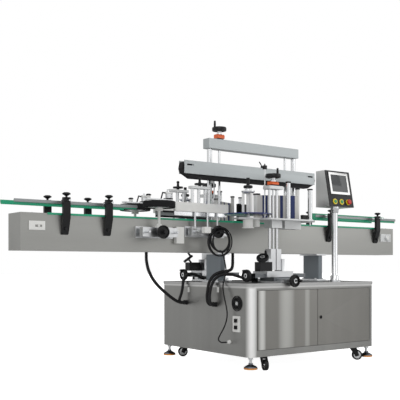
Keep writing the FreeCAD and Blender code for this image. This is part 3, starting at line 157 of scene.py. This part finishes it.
# Each painted highlight is a soft bright patch painted into the base colour: (axis, middle, reach) for its
# masks, then its colour
def brushedSteel(name, color, roughness, grain, low=0.80, high=1.20, paintedHighlights=()):
    made = Finish(name, color, roughness, 1.0)
    stretch = {"x": (1, 60, 60), "y": (60, 1, 60), "z": (60, 60, 1)}[grain]
    paintedStreakStretch = {"x": (0.25, 4, 4), "y": (4, 0.25, 4), "z": (4, 4, 0.25)}[grain]
    lines = made.noise(14, stretch, 4)
    # The fine lines are the brushing grain; the broad cloud is painted reflection, soft streaks along the grain
    # in the base colour
    cloud = made.noise(1.4, paintedStreakStretch, 2)
    made.put("Roughness", lines * 0.16 + cloud * 0.10 + (roughness - 0.12))
    made.shade(lines * 0.30 + cloud * 0.70, low, high)
    # Painted highlights: each mask mixes the base colour toward its bright colour
    for masks, light in paintedHighlights:
        mask = 1.0
        for letter, middle, reach in masks:
            mask = made.bell(letter, middle, reach) * mask
        made.tint(mask, light)
    made.bump(lines, 0.10, 0.0004)
    return made.material


def paint(name, color, roughness=0.42):
    made = Finish(name, color, roughness)
    peel = made.noise(420, detail=2)
    cloud = made.noise(3, detail=2)
    made.put("Roughness", peel * 0.10 + (roughness - 0.05))
    made.shade(cloud, 0.94, 1.05)
    made.bump(peel, 0.08, 0.0005)
    return made.material


def polished(name, color, roughness=0.16):
    made = Finish(name, color, roughness, 1.0)
    smear = made.noise(30, (1, 1, 0.2), 3)
    made.put("Roughness", smear * 0.12 + (roughness - 0.05))
    made.shade(smear, 0.92, 1.05)
    return made.material


def anodised(name, color, roughness=0.38):
    made = Finish(name, color, roughness, 0.55)
    fine = made.noise(700, detail=2)
    cloud = made.noise(4, (0.3, 1, 1), 2)
    made.put("Roughness", fine * 0.12 + (roughness - 0.06))
    made.shade(cloud, 0.95, 1.05)
    made.bump(fine, 0.06, 0.0003)
    return made.material


def moulded(name, color, roughness=0.45, grain=900):
    made = Finish(name, color, roughness)
    if max(color) < 0.02:
        made.put("Specular IOR Level", 0.22)
    fine = made.noise(grain, detail=2)
    wear = made.noise(9, detail=3)
    made.put("Roughness", fine * 0.14 + wear * 0.08 + (roughness - 0.1))
    made.shade(wear, 0.88, 1.10)
    made.bump(fine, 0.12, 0.0004)
    return made.material


def foam(name, color):
    made = Finish(name, color, 0.92)
    made.put("Specular IOR Level", 0.15)
    cells = made.node("TexVoronoi", inputs={"Vector": made.place(), "Scale": 420.0}, output="Distance")
    cloud = made.noise(25)
    made.shade(cells * 0.6 + cloud * 0.4, 0.6, 1.5)
    made.bump(cells, 0.7, 0.0012)
    return made.material


def tinted(name, color, alpha, roughness=0.12):
    made = Finish(name, color, roughness)
    cloud = made.noise(6)
    made.shade(cloud, 0.85, 1.15)
    made.put("Alpha", alpha)
    return made.material


# pale is the colour of a painted highlight
pale = (0.93, 0.93, 0.92)
# Painted highlights on the cabinet steel: a bright patch on the rounded front-left corner and a bright band
# along the top edge
steelUpright = brushedSteel("cabinet steel", (0.285, 0.285, 0.275), 0.36, "z", 0.72, 1.28, [
    ([("X", -0.236, 0.030), ("Y", -0.452, 0.030)], pale),
    ([("Z", 0.500, 0.010)], (0.60, 0.60, 0.59)),
])
# Painted reflections on the door steel: three soft bright vertical bands across the doors
steelDoor = brushedSteel("door steel", (0.245, 0.240, 0.225), 0.34, "z", 0.78, 1.22, [
    ([("X", -0.165, 0.030)], (0.62, 0.62, 0.60)),
    ([("X", 0.030, 0.070)], (0.46, 0.46, 0.44)),
    ([("X", 0.205, 0.025)], (0.40, 0.40, 0.38)),
])
steelTop = brushedSteel("worktop steel", (0.42, 0.42, 0.415), 0.34, "x")
steelBeam = brushedSteel("beam steel", (0.33, 0.33, 0.315), 0.38, "x")
steelBox = brushedSteel("panel box steel", (0.62, 0.62, 0.61), 0.36, "z")
aluminium = brushedSteel("machined aluminium", (0.62, 0.63, 0.64), 0.30, "x")
darkBlock = brushedSteel("dark slide block", (0.16, 0.17, 0.18), 0.34, "x")
chrome = polished("chromed bar", (0.66, 0.67, 0.68))
greyPaint = paint("grey leg paint", (0.205, 0.235, 0.26))
pressGrey = anodised("press grey", (0.37, 0.395, 0.40))
railGrey = anodised("guide rail aluminium", (0.30, 0.315, 0.32))
blackPlastic = moulded("black plastic", (0.012, 0.012, 0.013), 0.34)
blackRubber = moulded("belt rubber", (0.010, 0.010, 0.011), 0.62, 600)
spongeBlack = foam("sponge black", (0.014, 0.014, 0.015))
whitePlastic = moulded("white plastic", (0.80, 0.80, 0.775), 0.42)
greenPlastic = moulded("green wear plastic", (0.015, 0.36, 0.19), 0.35)
orangePlastic = moulded("orange dial", (0.85, 0.13, 0.015), 0.36)
yellowRing = moulded("yellow ring", (0.85, 0.66, 0.02), 0.32)
buttonGreen = moulded("green button", (0.01, 0.28, 0.10), 0.28)
buttonRed = moulded("red button", (0.55, 0.02, 0.015), 0.28)
navyFilm = tinted("navy disc", (0.008, 0.020, 0.14), 0.93)
screenGlass = Finish("dark screen", (0.022, 0.026, 0.028), 0.10)
screenGlass.shade(screenGlass.noise(2), 0.8, 1.25)
screenGlass = screenGlass.material
slatGrey = moulded("slat plastic", (0.52, 0.53, 0.52), 0.4)
copperRim = polished("copper foot rim", (0.80, 0.33, 0.07), 0.30)
footSteel = polished("foot steel", (0.13, 0.14, 0.16), 0.3)
tyreBlack = moulded("caster tread", (0.014, 0.014, 0.014), 0.5)
webLook = {
    "liner": (0.66, 0.65, 0.62), "label": (0.008, 0.022, 0.12),
    "labels": ((0.036, 0.066), (0.092, 0.104), (0.139, 0.156), (0.200, 0.226)),  # start and end along x
}
webLabels = Finish("label web", webLook["liner"], 0.4)
for start, end in webLook["labels"]:
    webLabels.tint(webLabels.between("X", start, end), webLook["label"])
webLabels = webLabels.material
paleGrey = anodised("pale grey", (0.60, 0.61, 0.61), 0.42)
print("finishes made:", len(bpy.data.materials))


# Dressing of CAD nodes: a bevelled copy whose faces take their finish by zone

def freshMesh(name, bm):
    mesh = bpy.data.meshes.new(name)
    bm.to_mesh(mesh)
    bm.free()
    made = bpy.data.objects.new(name, mesh)
    bpy.context.scene.collection.objects.link(made)
    return made


def bake(made):
    bpy.context.view_layer.update()
    flat = bpy.data.meshes.new_from_object(made.evaluated_get(bpy.context.evaluated_depsgraph_get()))
    made.modifiers.clear()
    old = made.data
    made.data = flat
    flat.name = made.name
    if isinstance(old, bpy.types.Mesh):
        bpy.data.meshes.remove(old)
    return made


dressing = {"weld": 2e-5, "flat": 0.6, "sharp": 35, "bevel": 0.0009, "fine": 0.0006}
jointOf = {joint["child"]: joint for joint in frame["record"]["behaviour"]["joints"]}


def dress(node, finish, zones=(), bevel=dressing["bevel"]):
    bm = bmesh.new()
    bm.from_mesh(nodes[node].data)
    bmesh.ops.remove_doubles(bm, verts=bm.verts, dist=dressing["weld"])
    for face in bm.faces:
        centre = face.calc_center_median()
        face.material_index = next((i for i, (_, zone) in enumerate(zones, 1) if zone(centre)), 0)
    bmesh.ops.dissolve_limit(bm, angle_limit=math.radians(dressing["flat"]), verts=bm.verts, edges=bm.edges,
                             delimit={"MATERIAL"})
    for face in bm.faces:
        face.smooth = True
    made = freshMesh(node + "_dressed", bm)
    made.data.materials.append(finish)
    for other, _ in zones:
        made.data.materials.append(other)
    sharp = math.radians(dressing["sharp"])
    if bevel:
        cut = made.modifiers.new("edges", "BEVEL")
        cut.width = bevel
        cut.segments = 2
        cut.limit_method = "ANGLE"
        cut.angle_limit = sharp
        cut.use_clamp_overlap = True
        cut.harden_normals = True
    made.data.set_sharp_from_angle(angle=sharp)
    bake(made)
    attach(made, bodyOf[node])
    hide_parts(node)
    return made


# Zones: tests on the centre of a face, in metres. The first that holds gives the material.
# Front and rear are mirror images, so most of them look at the size of y alone.

def column(x, y, reach, low=-1.0, high=9.0):
    return lambda p: math.hypot(p.x - x, abs(p.y) - y) < reach and low < p.z < high


def block(x0, x1, y0, y1, z0, z1):
    return lambda p: x0 < p.x < x1 and y0 < abs(p.y) < y1 and z0 < p.z < z1


def band(low, high=9.0):
    return lambda p: low < p.z < high


def ringOn(node, inner, outer):
    centre = Vector(jointOf[node]["pos_m"])
    axis = Vector(jointOf[node]["axis"]).normalized()
    return lambda p: inner < (p - centre - axis * (p - centre).dot(axis)).length < outer


# Cabinet, feet and casters

cabinet = {"topFlange": 0.5215, "latchFace": -0.4655}
dress("cabinet_shell", steelUpright)
dress("cabinet_top", steelTop, [(aluminium, band(cabinet["topFlange"]))])
dress("door_left", steelDoor)
dress("door_right", steelDoor, [(blackPlastic, lambda p: p.y < cabinet["latchFace"])])

endWall = {
    "sockets": {"right": -0.31, "top": 0.33, "face": -0.2652}, "glandTop": 0.19, "plate": (0.45, 0.5),
    "fanHub": {"y": -0.348, "z": 0.401, "reach": 0.0135},
}


def onSocket(p):
    side = endWall["sockets"]
    return p.y < side["right"] and p.z < side["top"] and p.x > side["face"]


def onFanHub(p):
    hub = endWall["fanHub"]
    return math.hypot(p.y - hub["y"], p.z - hub["z"]) < hub["reach"]


dress("end_wall_fittings", blackPlastic, [
    (whitePlastic, onSocket),
    (whitePlastic, band(0, endWall["glandTop"])),
    (whitePlastic, band(*endWall["plate"])),
    (paleGrey, onFanHub),
])

feet = {"rimTop": 0.0262, "stemLow": 0.0535, "casterHub": 0.0240}
dress("levelling_feet", footSteel, [(copperRim, band(0, feet["rimTop"])), (chrome, band(feet["stemLow"]))])
dress("caster_forks", blackPlastic, bevel=dressing["fine"])
for number in range(1, 5):
    name = f"caster_wheel_{number}"
    dress(name, tyreBlack, [(chrome, ringOn(name, 0.0, feet["casterHub"]))], bevel=dressing["fine"])

# Conveyor, its mounts and guide rails

beam = {
    "stripLow": 0.889, "laneLow": 0.9072, "stripEnd": 1.349, "outerStrip": 0.0827, "innerStrip": (0.05, 0.0794),
    "plateFace": 0.0830, "plateTop": 0.88, "plateStart": 1.3, "footPlateTop": 0.5385, "headPlateLow": 0.6965,
}


def onWearStrip(p):
    across = abs(p.y) > beam["outerStrip"] or beam["innerStrip"][0] < abs(p.y) < beam["innerStrip"][1]
    return abs(p.x) < beam["stripEnd"] and (p.z > beam["laneLow"] or p.z > beam["stripLow"] and across)


def onEndPlate(side):
    return lambda p: abs(p.y) > beam["plateFace"] and p.z < beam["plateTop"] and p.x * side > beam["plateStart"]


dress("conveyor_legs", greyPaint, [
    (aluminium, band(0, beam["footPlateTop"])), (aluminium, band(beam["headPlateLow"])),
])
dress("conveyor_frame", steelBeam, [
    (greenPlastic, onWearStrip), (paleGrey, onEndPlate(1)), (whitePlastic, onEndPlate(-1)),
], bevel=dressing["fine"])
dress("slat_chain", slatGrey, bevel=0)
dress("drive_sprocket", whitePlastic)

mounts = {"whiteBlock": (-0.534, -0.476), "aluminium": (-0.81, -0.15), "railStrip": 0.0542, "railRod": 0.0625}
dress("side_mounts", blackPlastic, [
    (whitePlastic, lambda p: mounts["whiteBlock"][0] < p.x < mounts["whiteBlock"][1]),
    (aluminium, lambda p: mounts["aluminium"][0] < p.x < mounts["aluminium"][1]),
])
for name in ("rail_infeed_front", "rail_infeed_rear", "rail_outfeed_front", "rail_outfeed_rear"):
    dress(name, railGrey, [
        (greenPlastic, lambda p: abs(p.y) < mounts["railStrip"]),
        (chrome, lambda p: abs(p.y) > mounts["railRod"]),
    ], bevel=dressing["fine"])

# Separator and centring guide

separator = {
    "postEnd": -0.685, "postCap": 1.0315, "postWhite": 1.0165,
    "middle": (-0.668, -0.6305), "middleCap": 1.0165, "clampStart": -0.64, "clampCap": (1.0163, 1.0225),
    "whiteCollar": (1.0475, 1.0567), "whiteFoot": (0.8475, 0.9615),
    "wheelHub": (-0.673, 0.135, 0.062), "spongeBevel": 0.0025,
}
guide = {
    "laneFace": 0.1046, "laneTop": 0.9725, "lowRib": 0.9402, "highRib": 0.9595, "baseBlock": (0.80, 0.857),
    "lowRod": (0.857, 0.9525), "highRod": (1.0075, 1.0928), "plate": (1.0928, 1.1085), "cap": 1.1085,
}


def onRib(p):
    ribbedPart = p.z < guide["lowRib"] or guide["highRib"] < p.z < guide["laneTop"]
    return abs(p.y) < guide["laneFace"] and ribbedPart


for side in ("front", "rear"):
    dress(f"separator_{side}", aluminium, [
        (blackPlastic, lambda p: p.x < separator["postEnd"] and p.z > separator["postCap"]),
        (blackPlastic, lambda p: separator["middle"][0] < p.x < separator["middle"][1]
            and p.z > separator["middleCap"]),
        (blackPlastic, lambda p: p.x > separator["clampStart"]
            and separator["clampCap"][0] < p.z < separator["clampCap"][1]),
        (whitePlastic, band(*separator["whiteCollar"])),
        (whitePlastic, lambda p: p.x < separator["postEnd"] and p.z > separator["postWhite"]),
        (whitePlastic, band(*separator["whiteFoot"])),
    ])
    dress(f"sponge_wheel_{side}", spongeBlack, [(aluminium, column(*separator["wheelHub"]))],
          bevel=separator["spongeBevel"])
    dress(f"centring_guide_{side}", whitePlastic, [
        (blackPlastic, onRib),
        (railGrey, lambda p: abs(p.y) < guide["laneFace"] and p.z < guide["laneTop"]),
        (aluminium, band(*guide["baseBlock"])),
        (chrome, band(*guide["lowRod"])),
        (chrome, band(*guide["highRod"])),
        (paleGrey, band(*guide["plate"])),
        (blackPlastic, band(guide["cap"])),
    ])

# Labelling heads

wheelRing = {"small": (0.0072, 0.0150), "large": (0.0090, 0.0186)}
head = {
    "motor": (-0.13, -0.0225, 0.338, 0.394, 0.5925, 0.66), "rollerCap": 1.109,
    "mastBlock": 0.7282, "mastPlate": (1.0975, 1.1182), "mastWasher": (1.1182, 1.1273), "crankStem": 1.1450,
    "disc": (0.9315, 0.9385), "core": (0.9385, 1.0615), "reelKnob": 1.0925,
}
deck = {
    "tallRoller": (0.151, 0.350, 0.0185), "tallCap": 1.1427,
    "shortRoller": (0.251, 0.330, 0.0155), "shortCap": 1.1097,
    "nearRoller": (0.017, 0.204), "nearReach": 0.0205, "nearCapReach": 0.0235, "nearCap": (1.0717, 1.09),
    "washer": (0.9137, 0.9172), "rollerLow": 0.917,
    "box": (0.264, 0.308, 0.225, 0.365, 0.914, 1.07),
    "leverRod": (0.034, 0.262, 0.0118, 0.9137, 1.2290), "lever": (-0.04, 0.05, 0.245, 0.290, 1.2290, 1.3),
    "web": (0.0, 0.27, 0.19, 0.36, 0.9195, 1.0705), "bossEnd": -0.05, "bossTop": 0.9035,
}
for side in ("front", "rear"):
    dress(f"{side}_saddle", darkBlock)
    dress(f"{side}_table", aluminium, [(blackPlastic, block(*head["motor"]))])
    dress(f"{side}_label_roller", chrome, [(blackPlastic, band(head["rollerCap"]))])
    dress(f"{side}_mast", chrome, [
        (aluminium, band(0, head["mastBlock"])), (paleGrey, band(*head["mastPlate"])),
        (blackPlastic, band(*head["mastWasher"])), (orangePlastic, band(head["mastWasher"][1])),
    ])
    dress(f"{side}_deck", paleGrey, [
        (blackPlastic, column(*deck["tallRoller"], deck["tallCap"])),
        (blackPlastic, column(*deck["shortRoller"], deck["shortCap"])),
        (blackPlastic, column(*deck["nearRoller"], deck["nearCapReach"], *deck["nearCap"])),
        (blackPlastic, band(*deck["washer"])),
        (chrome, column(*deck["tallRoller"], deck["rollerLow"])),
        (whitePlastic, column(*deck["shortRoller"], deck["rollerLow"])),
        (whitePlastic, column(*deck["nearRoller"], deck["nearReach"], deck["rollerLow"], deck["nearCap"][0])),
        (blackPlastic, block(*deck["box"])),
        (chrome, column(*deck["leverRod"])),
        (blackPlastic, block(*deck["lever"])),
        (webLabels, block(*deck["web"])),
        (whitePlastic, lambda p: p.x < deck["bossEnd"] and p.z < deck["bossTop"]),
    ])
    dress(f"{side}_label_reel", aluminium, [
        (navyFilm, band(*head["disc"])),
        (blackPlastic, band(head["reelKnob"])),
        (whitePlastic, band(*head["core"])),
    ])
    for piece in ("x_handwheel", "y_handwheel", "tilt_handwheel"):
        name = f"{side}_{piece}"
        dress(name, blackPlastic, [(chrome, ringOn(name, *wheelRing["small"]))])
    crank = f"{side}_lift_crank"
    dress(crank, blackPlastic, [
        (chrome, band(0, head["crankStem"])), (chrome, ringOn(crank, *wheelRing["large"])),
    ])
dress("separator_handwheel", blackPlastic)
dress("centring_handwheel", blackPlastic)

# Top press and operator panel

press = {"crankStem": 1.4940, "dial": 1.4682, "dialWasher": 1.4592, "columns": (0.8675, 1.3935), "belt": 0.0225}
dress("press_crank", blackPlastic, [
    (chrome, band(0, press["crankStem"])), (chrome, ringOn("press_crank", *wheelRing["large"])),
])
dress("press_frame", pressGrey, [
    (orangePlastic, band(press["dial"])), (blackPlastic, band(press["dialWasher"], press["dial"])),
    (chrome, band(*press["columns"])), (paleGrey, band(0, press["columns"][0])),
])
dress("press_head", pressGrey, [(blackRubber, lambda p: abs(p.y) < press["belt"])])
dress("panel_post", chrome)
panel = {
    "front": -0.430, "bottom": 1.008, "lean": math.atan2(0.045, 0.236), "postTop": 1.0078,
    "plateOut": 0.0002, "raisedOut": 0.0042, "reachOut": 0.02, "buttonRow": (-0.1, 0.06),
    "screenOut": (0.0055, 0.0065), "screenUp": (0.09, 0.22),
}


# Distances from the leaning face of the box: outwards from it, and up along it
def onPanel(out0, out1, up0=-1.0, up1=1.0):
    def test(p):
        rise = p.z - panel["bottom"]
        away = panel["front"] + rise * math.tan(panel["lean"]) - p.y
        out = away * math.cos(panel["lean"])
        up = rise / math.cos(panel["lean"]) + out * math.tan(panel["lean"])
        return out0 < out < out1 and up0 < up < up1
    return test


dress("panel_box", steelBox, [
    (chrome, lambda p: p.z < panel["postTop"]),
    (yellowRing, onPanel(panel["raisedOut"], panel["reachOut"], *panel["buttonRow"])),
    (screenGlass, onPanel(*panel["screenOut"], *panel["screenUp"])),
    (steelBox, onPanel(panel["raisedOut"], panel["reachOut"])),
    (blackPlastic, onPanel(panel["plateOut"], panel["raisedOut"])),
])
dress("start_button", buttonGreen)
dress("reset_button", buttonGreen)
dress("emergency_stop", buttonRed)
print("nodes dressed")


# Conduits, power cord and plug

def curvePiece(name, points, diameter, finish):
    data = bpy.data.curves.new(name, "CURVE")
    data.dimensions = "3D"
    data.bevel_depth = diameter / 2
    data.bevel_resolution = 5
    data.resolution_u = 8
    spline = data.splines.new("NURBS")
    spline.points.add(len(points) - 1)
    for place, point in zip(spline.points, points):
        place.co = (*point, 1.0)
    spline.order_u = 3
    spline.use_endpoint_u = True
    data.materials.append(finish)
    made = bpy.data.objects.new(name, data)
    bpy.context.scene.collection.objects.link(made)
    return made


# A line through the points with rounded corners, cut into equal steps
def softPath(points, step, corner=0.45, arcSteps=12):
    points = [Vector(p) for p in points]
    dense = [points[0]]
    for before, here, after in zip(points, points[1:], points[2:]):
        cut = corner * min((before - here).length, (after - here).length)
        start = here + (before - here).normalized() * cut
        end = here + (after - here).normalized() * cut
        for i in range(arcSteps + 1):
            t = i / arcSteps
            dense.append(start.lerp(here, t).lerp(here.lerp(end, t), t))
    dense.append(points[-1])
    even = [dense[0]]
    left = step
    for a, b in zip(dense, dense[1:]):
        span = (b - a).length
        while span >= left > 0:
            a = a + (b - a).normalized() * left
            even.append(a.copy())
            span = (b - a).length
            left = step
        left -= span
    return even


# A hose of rings: two of every four stand in by the dip, which makes the ribs
def ribbed(bm, points, radius, dip, pitch, sides=16):
    path = softPath(points, pitch / 4)
    side = Vector((0.3, 0.2, 1.0))
    rings = []
    for i, here in enumerate(path):
        ahead = (path[min(i + 1, len(path) - 1)] - path[max(i - 1, 0)]).normalized()
        side = (side - ahead * side.dot(ahead)).normalized()
        other = ahead.cross(side)
        reach = radius - (dip if i % 4 > 1 else 0)
        ring = []
        for j in range(sides):
            turn = 2 * math.pi * j / sides
            ring.append(bm.verts.new(here + side * math.cos(turn) * reach + other * math.sin(turn) * reach))
        rings.append(ring)
    for ring, following in zip(rings, rings[1:]):
        for j in range(sides):
            k = (j + 1) % sides
            bm.faces.new((ring[j], ring[k], following[k], following[j]))
    bm.faces.new(rings[0][::-1])
    bm.faces.new(rings[-1])


hoses = {
    "diameter": 0.020, "dip": 0.0016, "pitch": 0.0056,
    "blockSize": (0.024, 0.032, 0.036), "blockPlaces": ((-0.026, -0.235, 0.539), (-0.026, 0.235, 0.539)),
    "hoseFace": 2e-5,  # a face of the hose is smaller than this, a face of the block larger
    "beam": [(-0.664, 0.020, 0.707), (-0.664, 0.020, 0.660), (-0.646, 0.030, 0.606),
             (-0.606, 0.052, 0.556), (-0.550, 0.084, 0.512), (-0.482, 0.116, 0.470),
             (-0.410, 0.144, 0.430), (-0.350, 0.164, 0.400), (-0.306, 0.171, 0.386),
             (-0.272, 0.171, 0.386)],
    "rear": [(-0.038, 0.235, 0.539), (-0.076, 0.235, 0.539), (-0.128, 0.222, 0.556),
             (-0.188, 0.206, 0.574), (-0.242, 0.190, 0.568), (-0.281, 0.180, 0.534),
             (-0.288, 0.176, 0.486), (-0.294, 0.184, 0.440), (-0.304, 0.194, 0.404),
             (-0.292, 0.195, 0.386), (-0.272, 0.195, 0.386)],
    "front": [(-0.038, -0.235, 0.539), (-0.076, -0.235, 0.539), (-0.128, -0.214, 0.556),
              (-0.186, -0.184, 0.576), (-0.242, -0.160, 0.570), (-0.284, -0.148, 0.536),
              (-0.302, -0.142, 0.486), (-0.310, -0.142, 0.438), (-0.307, -0.142, 0.402),
              (-0.292, -0.142, 0.386), (-0.272, -0.142, 0.386)],
    "under": [(-0.045, -0.040, 0.707), (-0.045, -0.040, 0.672), (-0.060, -0.058, 0.630),
              (-0.092, -0.088, 0.602), (-0.144, -0.108, 0.590), (-0.206, -0.116, 0.586),
              (-0.262, -0.118, 0.566), (-0.296, -0.118, 0.524), (-0.306, -0.118, 0.478),
              (-0.312, -0.118, 0.436), (-0.308, -0.118, 0.402), (-0.292, -0.118, 0.386),
              (-0.272, -0.118, 0.386)],
}
bm = bmesh.new()
for run in ("beam", "rear", "front", "under"):
    ribbed(bm, hoses[run], hoses["diameter"] / 2, hoses["dip"], hoses["pitch"])
for place in hoses["blockPlaces"]:
    made = bmesh.ops.create_cube(bm, size=1.0)
    bmesh.ops.scale(bm, vec=hoses["blockSize"], verts=made["verts"])
    bmesh.ops.translate(bm, vec=place, verts=made["verts"])
bmesh.ops.recalc_face_normals(bm, faces=bm.faces)
for face in bm.faces:
    face.smooth = len(face.verts) == 4 and face.calc_area() < hoses["hoseFace"]
conduits = freshMesh("conduits_ribbed", bm)
conduits.data.materials.append(blackPlastic)
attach(conduits, "machine_base")
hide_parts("conduits")

cord = {
    "diameter": 0.008, "turns": 5, "stepsPerTurn": 16,
    "outer": 0.091, "inner": 0.060, "spread": 0.0075, "drift": 0.006,
    "startAngle": 150, "lastSweep": 138,  # degrees
    "sizeBeat": 2.4, "depthBeat": 1.7, "driftBeat": 1.1, "driftStart": 0.6,  # radians for each turn
    "drop": [(-0.236, -0.220, 0.592), (-0.262, -0.228, 0.548), (-0.284, -0.240, 0.500),
             (-0.292, -0.262, 0.444), (-0.292, -0.284, 0.386), (-0.290, -0.294, 0.336),
             (-0.292, -0.284, 0.288), (-0.298, -0.268, 0.250), (-0.314, -0.254, 0.212),
             (-0.332, -0.254, 0.184), (-0.326, -0.274, 0.167), (-0.302, -0.280, 0.167),
             (-0.282, -0.280, 0.167)],
}
coilLow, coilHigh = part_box("cord_coil")
coilMid = (coilLow + coilHigh) / 2


# The coil's turns differ in radius, depth and centre, so they lie loose
def coilPoints():
    points = []
    total = cord["turns"] * cord["stepsPerTurn"]
    sweep = math.radians(cord["turns"] * 360 + cord["lastSweep"])
    for i in range(total + 1):
        angle = math.radians(cord["startAngle"]) + i / total * sweep
        lap = i / cord["stepsPerTurn"]
        swell = 0.5 + 0.5 * math.cos(lap * cord["sizeBeat"])
        radius = cord["outer"] - (cord["outer"] - cord["inner"]) * swell
        depth = cord["spread"] * math.sin(lap * cord["depthBeat"])
        drift = cord["drift"] * math.sin(lap * cord["driftBeat"] + cord["driftStart"])
        points.append((coilMid.x + radius * math.cos(angle) + drift, coilMid.y + depth,
                       coilMid.z + radius * math.sin(angle) - abs(drift)))
    return points


route = coilPoints() + cord["drop"]
powerCord = curvePiece("power_cord_lead", route[::-1], cord["diameter"], blackRubber)
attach(powerCord, "machine_base")
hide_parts("power_cord", "cord_coil")
plug = dress("power_plug", whitePlastic, bevel=0.002)


def lineLength(piece):
    copy = piece.data.copy()
    copy.bevel_depth = 0
    probe = bpy.data.objects.new("probe", copy)
    mesh = bpy.data.meshes.new_from_object(probe)
    points = [v.co.copy() for v in mesh.vertices]
    bpy.data.meshes.remove(mesh)
    bpy.data.objects.remove(probe)
    return sum((b - a).length for a, b in zip(points, points[1:]))


cordLength = lineLength(powerCord)
print("cord length", round(cordLength, 3))


# Stage, light and camera

ground = {"color": (0.86, 0.86, 0.86), "roughness": 0.75, "glow": 0.95, "halfSize": 40}
studio = {
    "ahead": (0.5916, 0.8063, 0.0),  # where the camera looks, along the floor
    "flagFrom": 0.35, "flagTo": 0.90, "flagged": 0.12,  # reflections of that side of the room are dark
    "ambient": 0.55,
}
lamps = {
    "key": {"place": (-3.2, -4.2, 3.8), "aim": (0, 0, 0.8), "size": (3.0, 3.0), "power": 62},
    "fill": {"place": (3.6, -3.6, 2.4), "aim": (0, 0, 0.8), "size": (2.6, 2.6), "power": 26},
    "top": {"place": (0.0, 0.0, 4.2), "aim": (0, 0, 0), "size": (4.0, 2.5), "power": 30},
}
shot = {"place": (-2.959, -3.654, 0.627), "turn": 36.27, "lens": 64.63, "sensor": 36.0, "shift": 0.1636}


def stageFloor():
    made = Finish("pale floor", ground["color"], ground["roughness"])
    seen = made.node("LightPath", output="Is Camera Ray")
    glow = made.node("Mix", {"data_type": "RGBA"}, {0: seen, 6: (0, 0, 0, 1), 7: (1, 1, 1, 1)}, output=2)
    made.put("Emission Color", glow)
    made.put("Emission Strength", ground["glow"])
    bm = bmesh.new()
    bmesh.ops.create_grid(bm, x_segments=1, y_segments=1, size=ground["halfSize"])
    floor = freshMesh("floor", bm)
    floor.data.materials.append(made.material)


def softBox(name, place, aim, size, power):
    data = bpy.data.lights.new(name, "AREA")
    data.shape = "RECTANGLE"
    data.size, data.size_y = size
    data.energy = power
    lamp = bpy.data.objects.new(name, data)
    lamp.location = place
    lamp.rotation_euler = (Vector(aim) - Vector(place)).to_track_quat("-Z", "Y").to_euler()
    bpy.context.scene.collection.objects.link(lamp)


def studioWorld():
    world = bpy.data.worlds.new("studio")
    world.use_nodes = True
    tree = world.node_tree
    back = tree.nodes["Background"]
    back.inputs["Color"].default_value = (1.0, 1.0, 1.0, 1.0)
    path = tree.nodes.new("ShaderNodeLightPath")
    seen = Wire(tree, path.outputs["Is Camera Ray"])
    seen = seen.maths("MAXIMUM", Wire(tree, path.outputs["Is Transmission Ray"]))
    at = tree.nodes.new("ShaderNodeTexCoord")
    ahead = tree.nodes.new("ShaderNodeVectorMath")
    ahead.operation = "DOT_PRODUCT"
    tree.links.new(at.outputs["Generated"], ahead.inputs[0])
    ahead.inputs[1].default_value = studio["ahead"]
    flag = tree.nodes.new("ShaderNodeMapRange")
    flag.interpolation_type = "SMOOTHSTEP"
    tree.links.new(ahead.outputs["Value"], flag.inputs["Value"])
    flag.inputs["From Min"].default_value = studio["flagFrom"]
    flag.inputs["From Max"].default_value = studio["flagTo"]
    flag.inputs["To Min"].default_value = 1.0
    flag.inputs["To Max"].default_value = studio["flagged"]
    glossy = Wire(tree, path.outputs["Is Glossy Ray"])
    shiny = glossy * Wire(tree, flag.outputs["Result"])
    plain = (1 - glossy) * studio["ambient"]
    strength = seen.maths("MAXIMUM", shiny + plain)
    tree.links.new(strength.socket, back.inputs["Strength"])
    bpy.context.scene.world = world


def camera():
    data = bpy.data.cameras.new("camera")
    data.lens = shot["lens"]
    data.sensor_width = shot["sensor"]
    data.shift_y = shot["shift"]
    data.clip_end = 200.0
    made = bpy.data.objects.new("camera", data)
    made.location = shot["place"]
    made.rotation_euler = (math.radians(90), 0, -math.radians(shot["turn"]))
    bpy.context.scene.collection.objects.link(made)
    bpy.context.scene.camera = made


stageFloor()
studioWorld()
for name, lamp in lamps.items():
    softBox(name, **lamp)
camera()
bpy.context.scene.view_settings.view_transform = "Standard"
print("stage set")
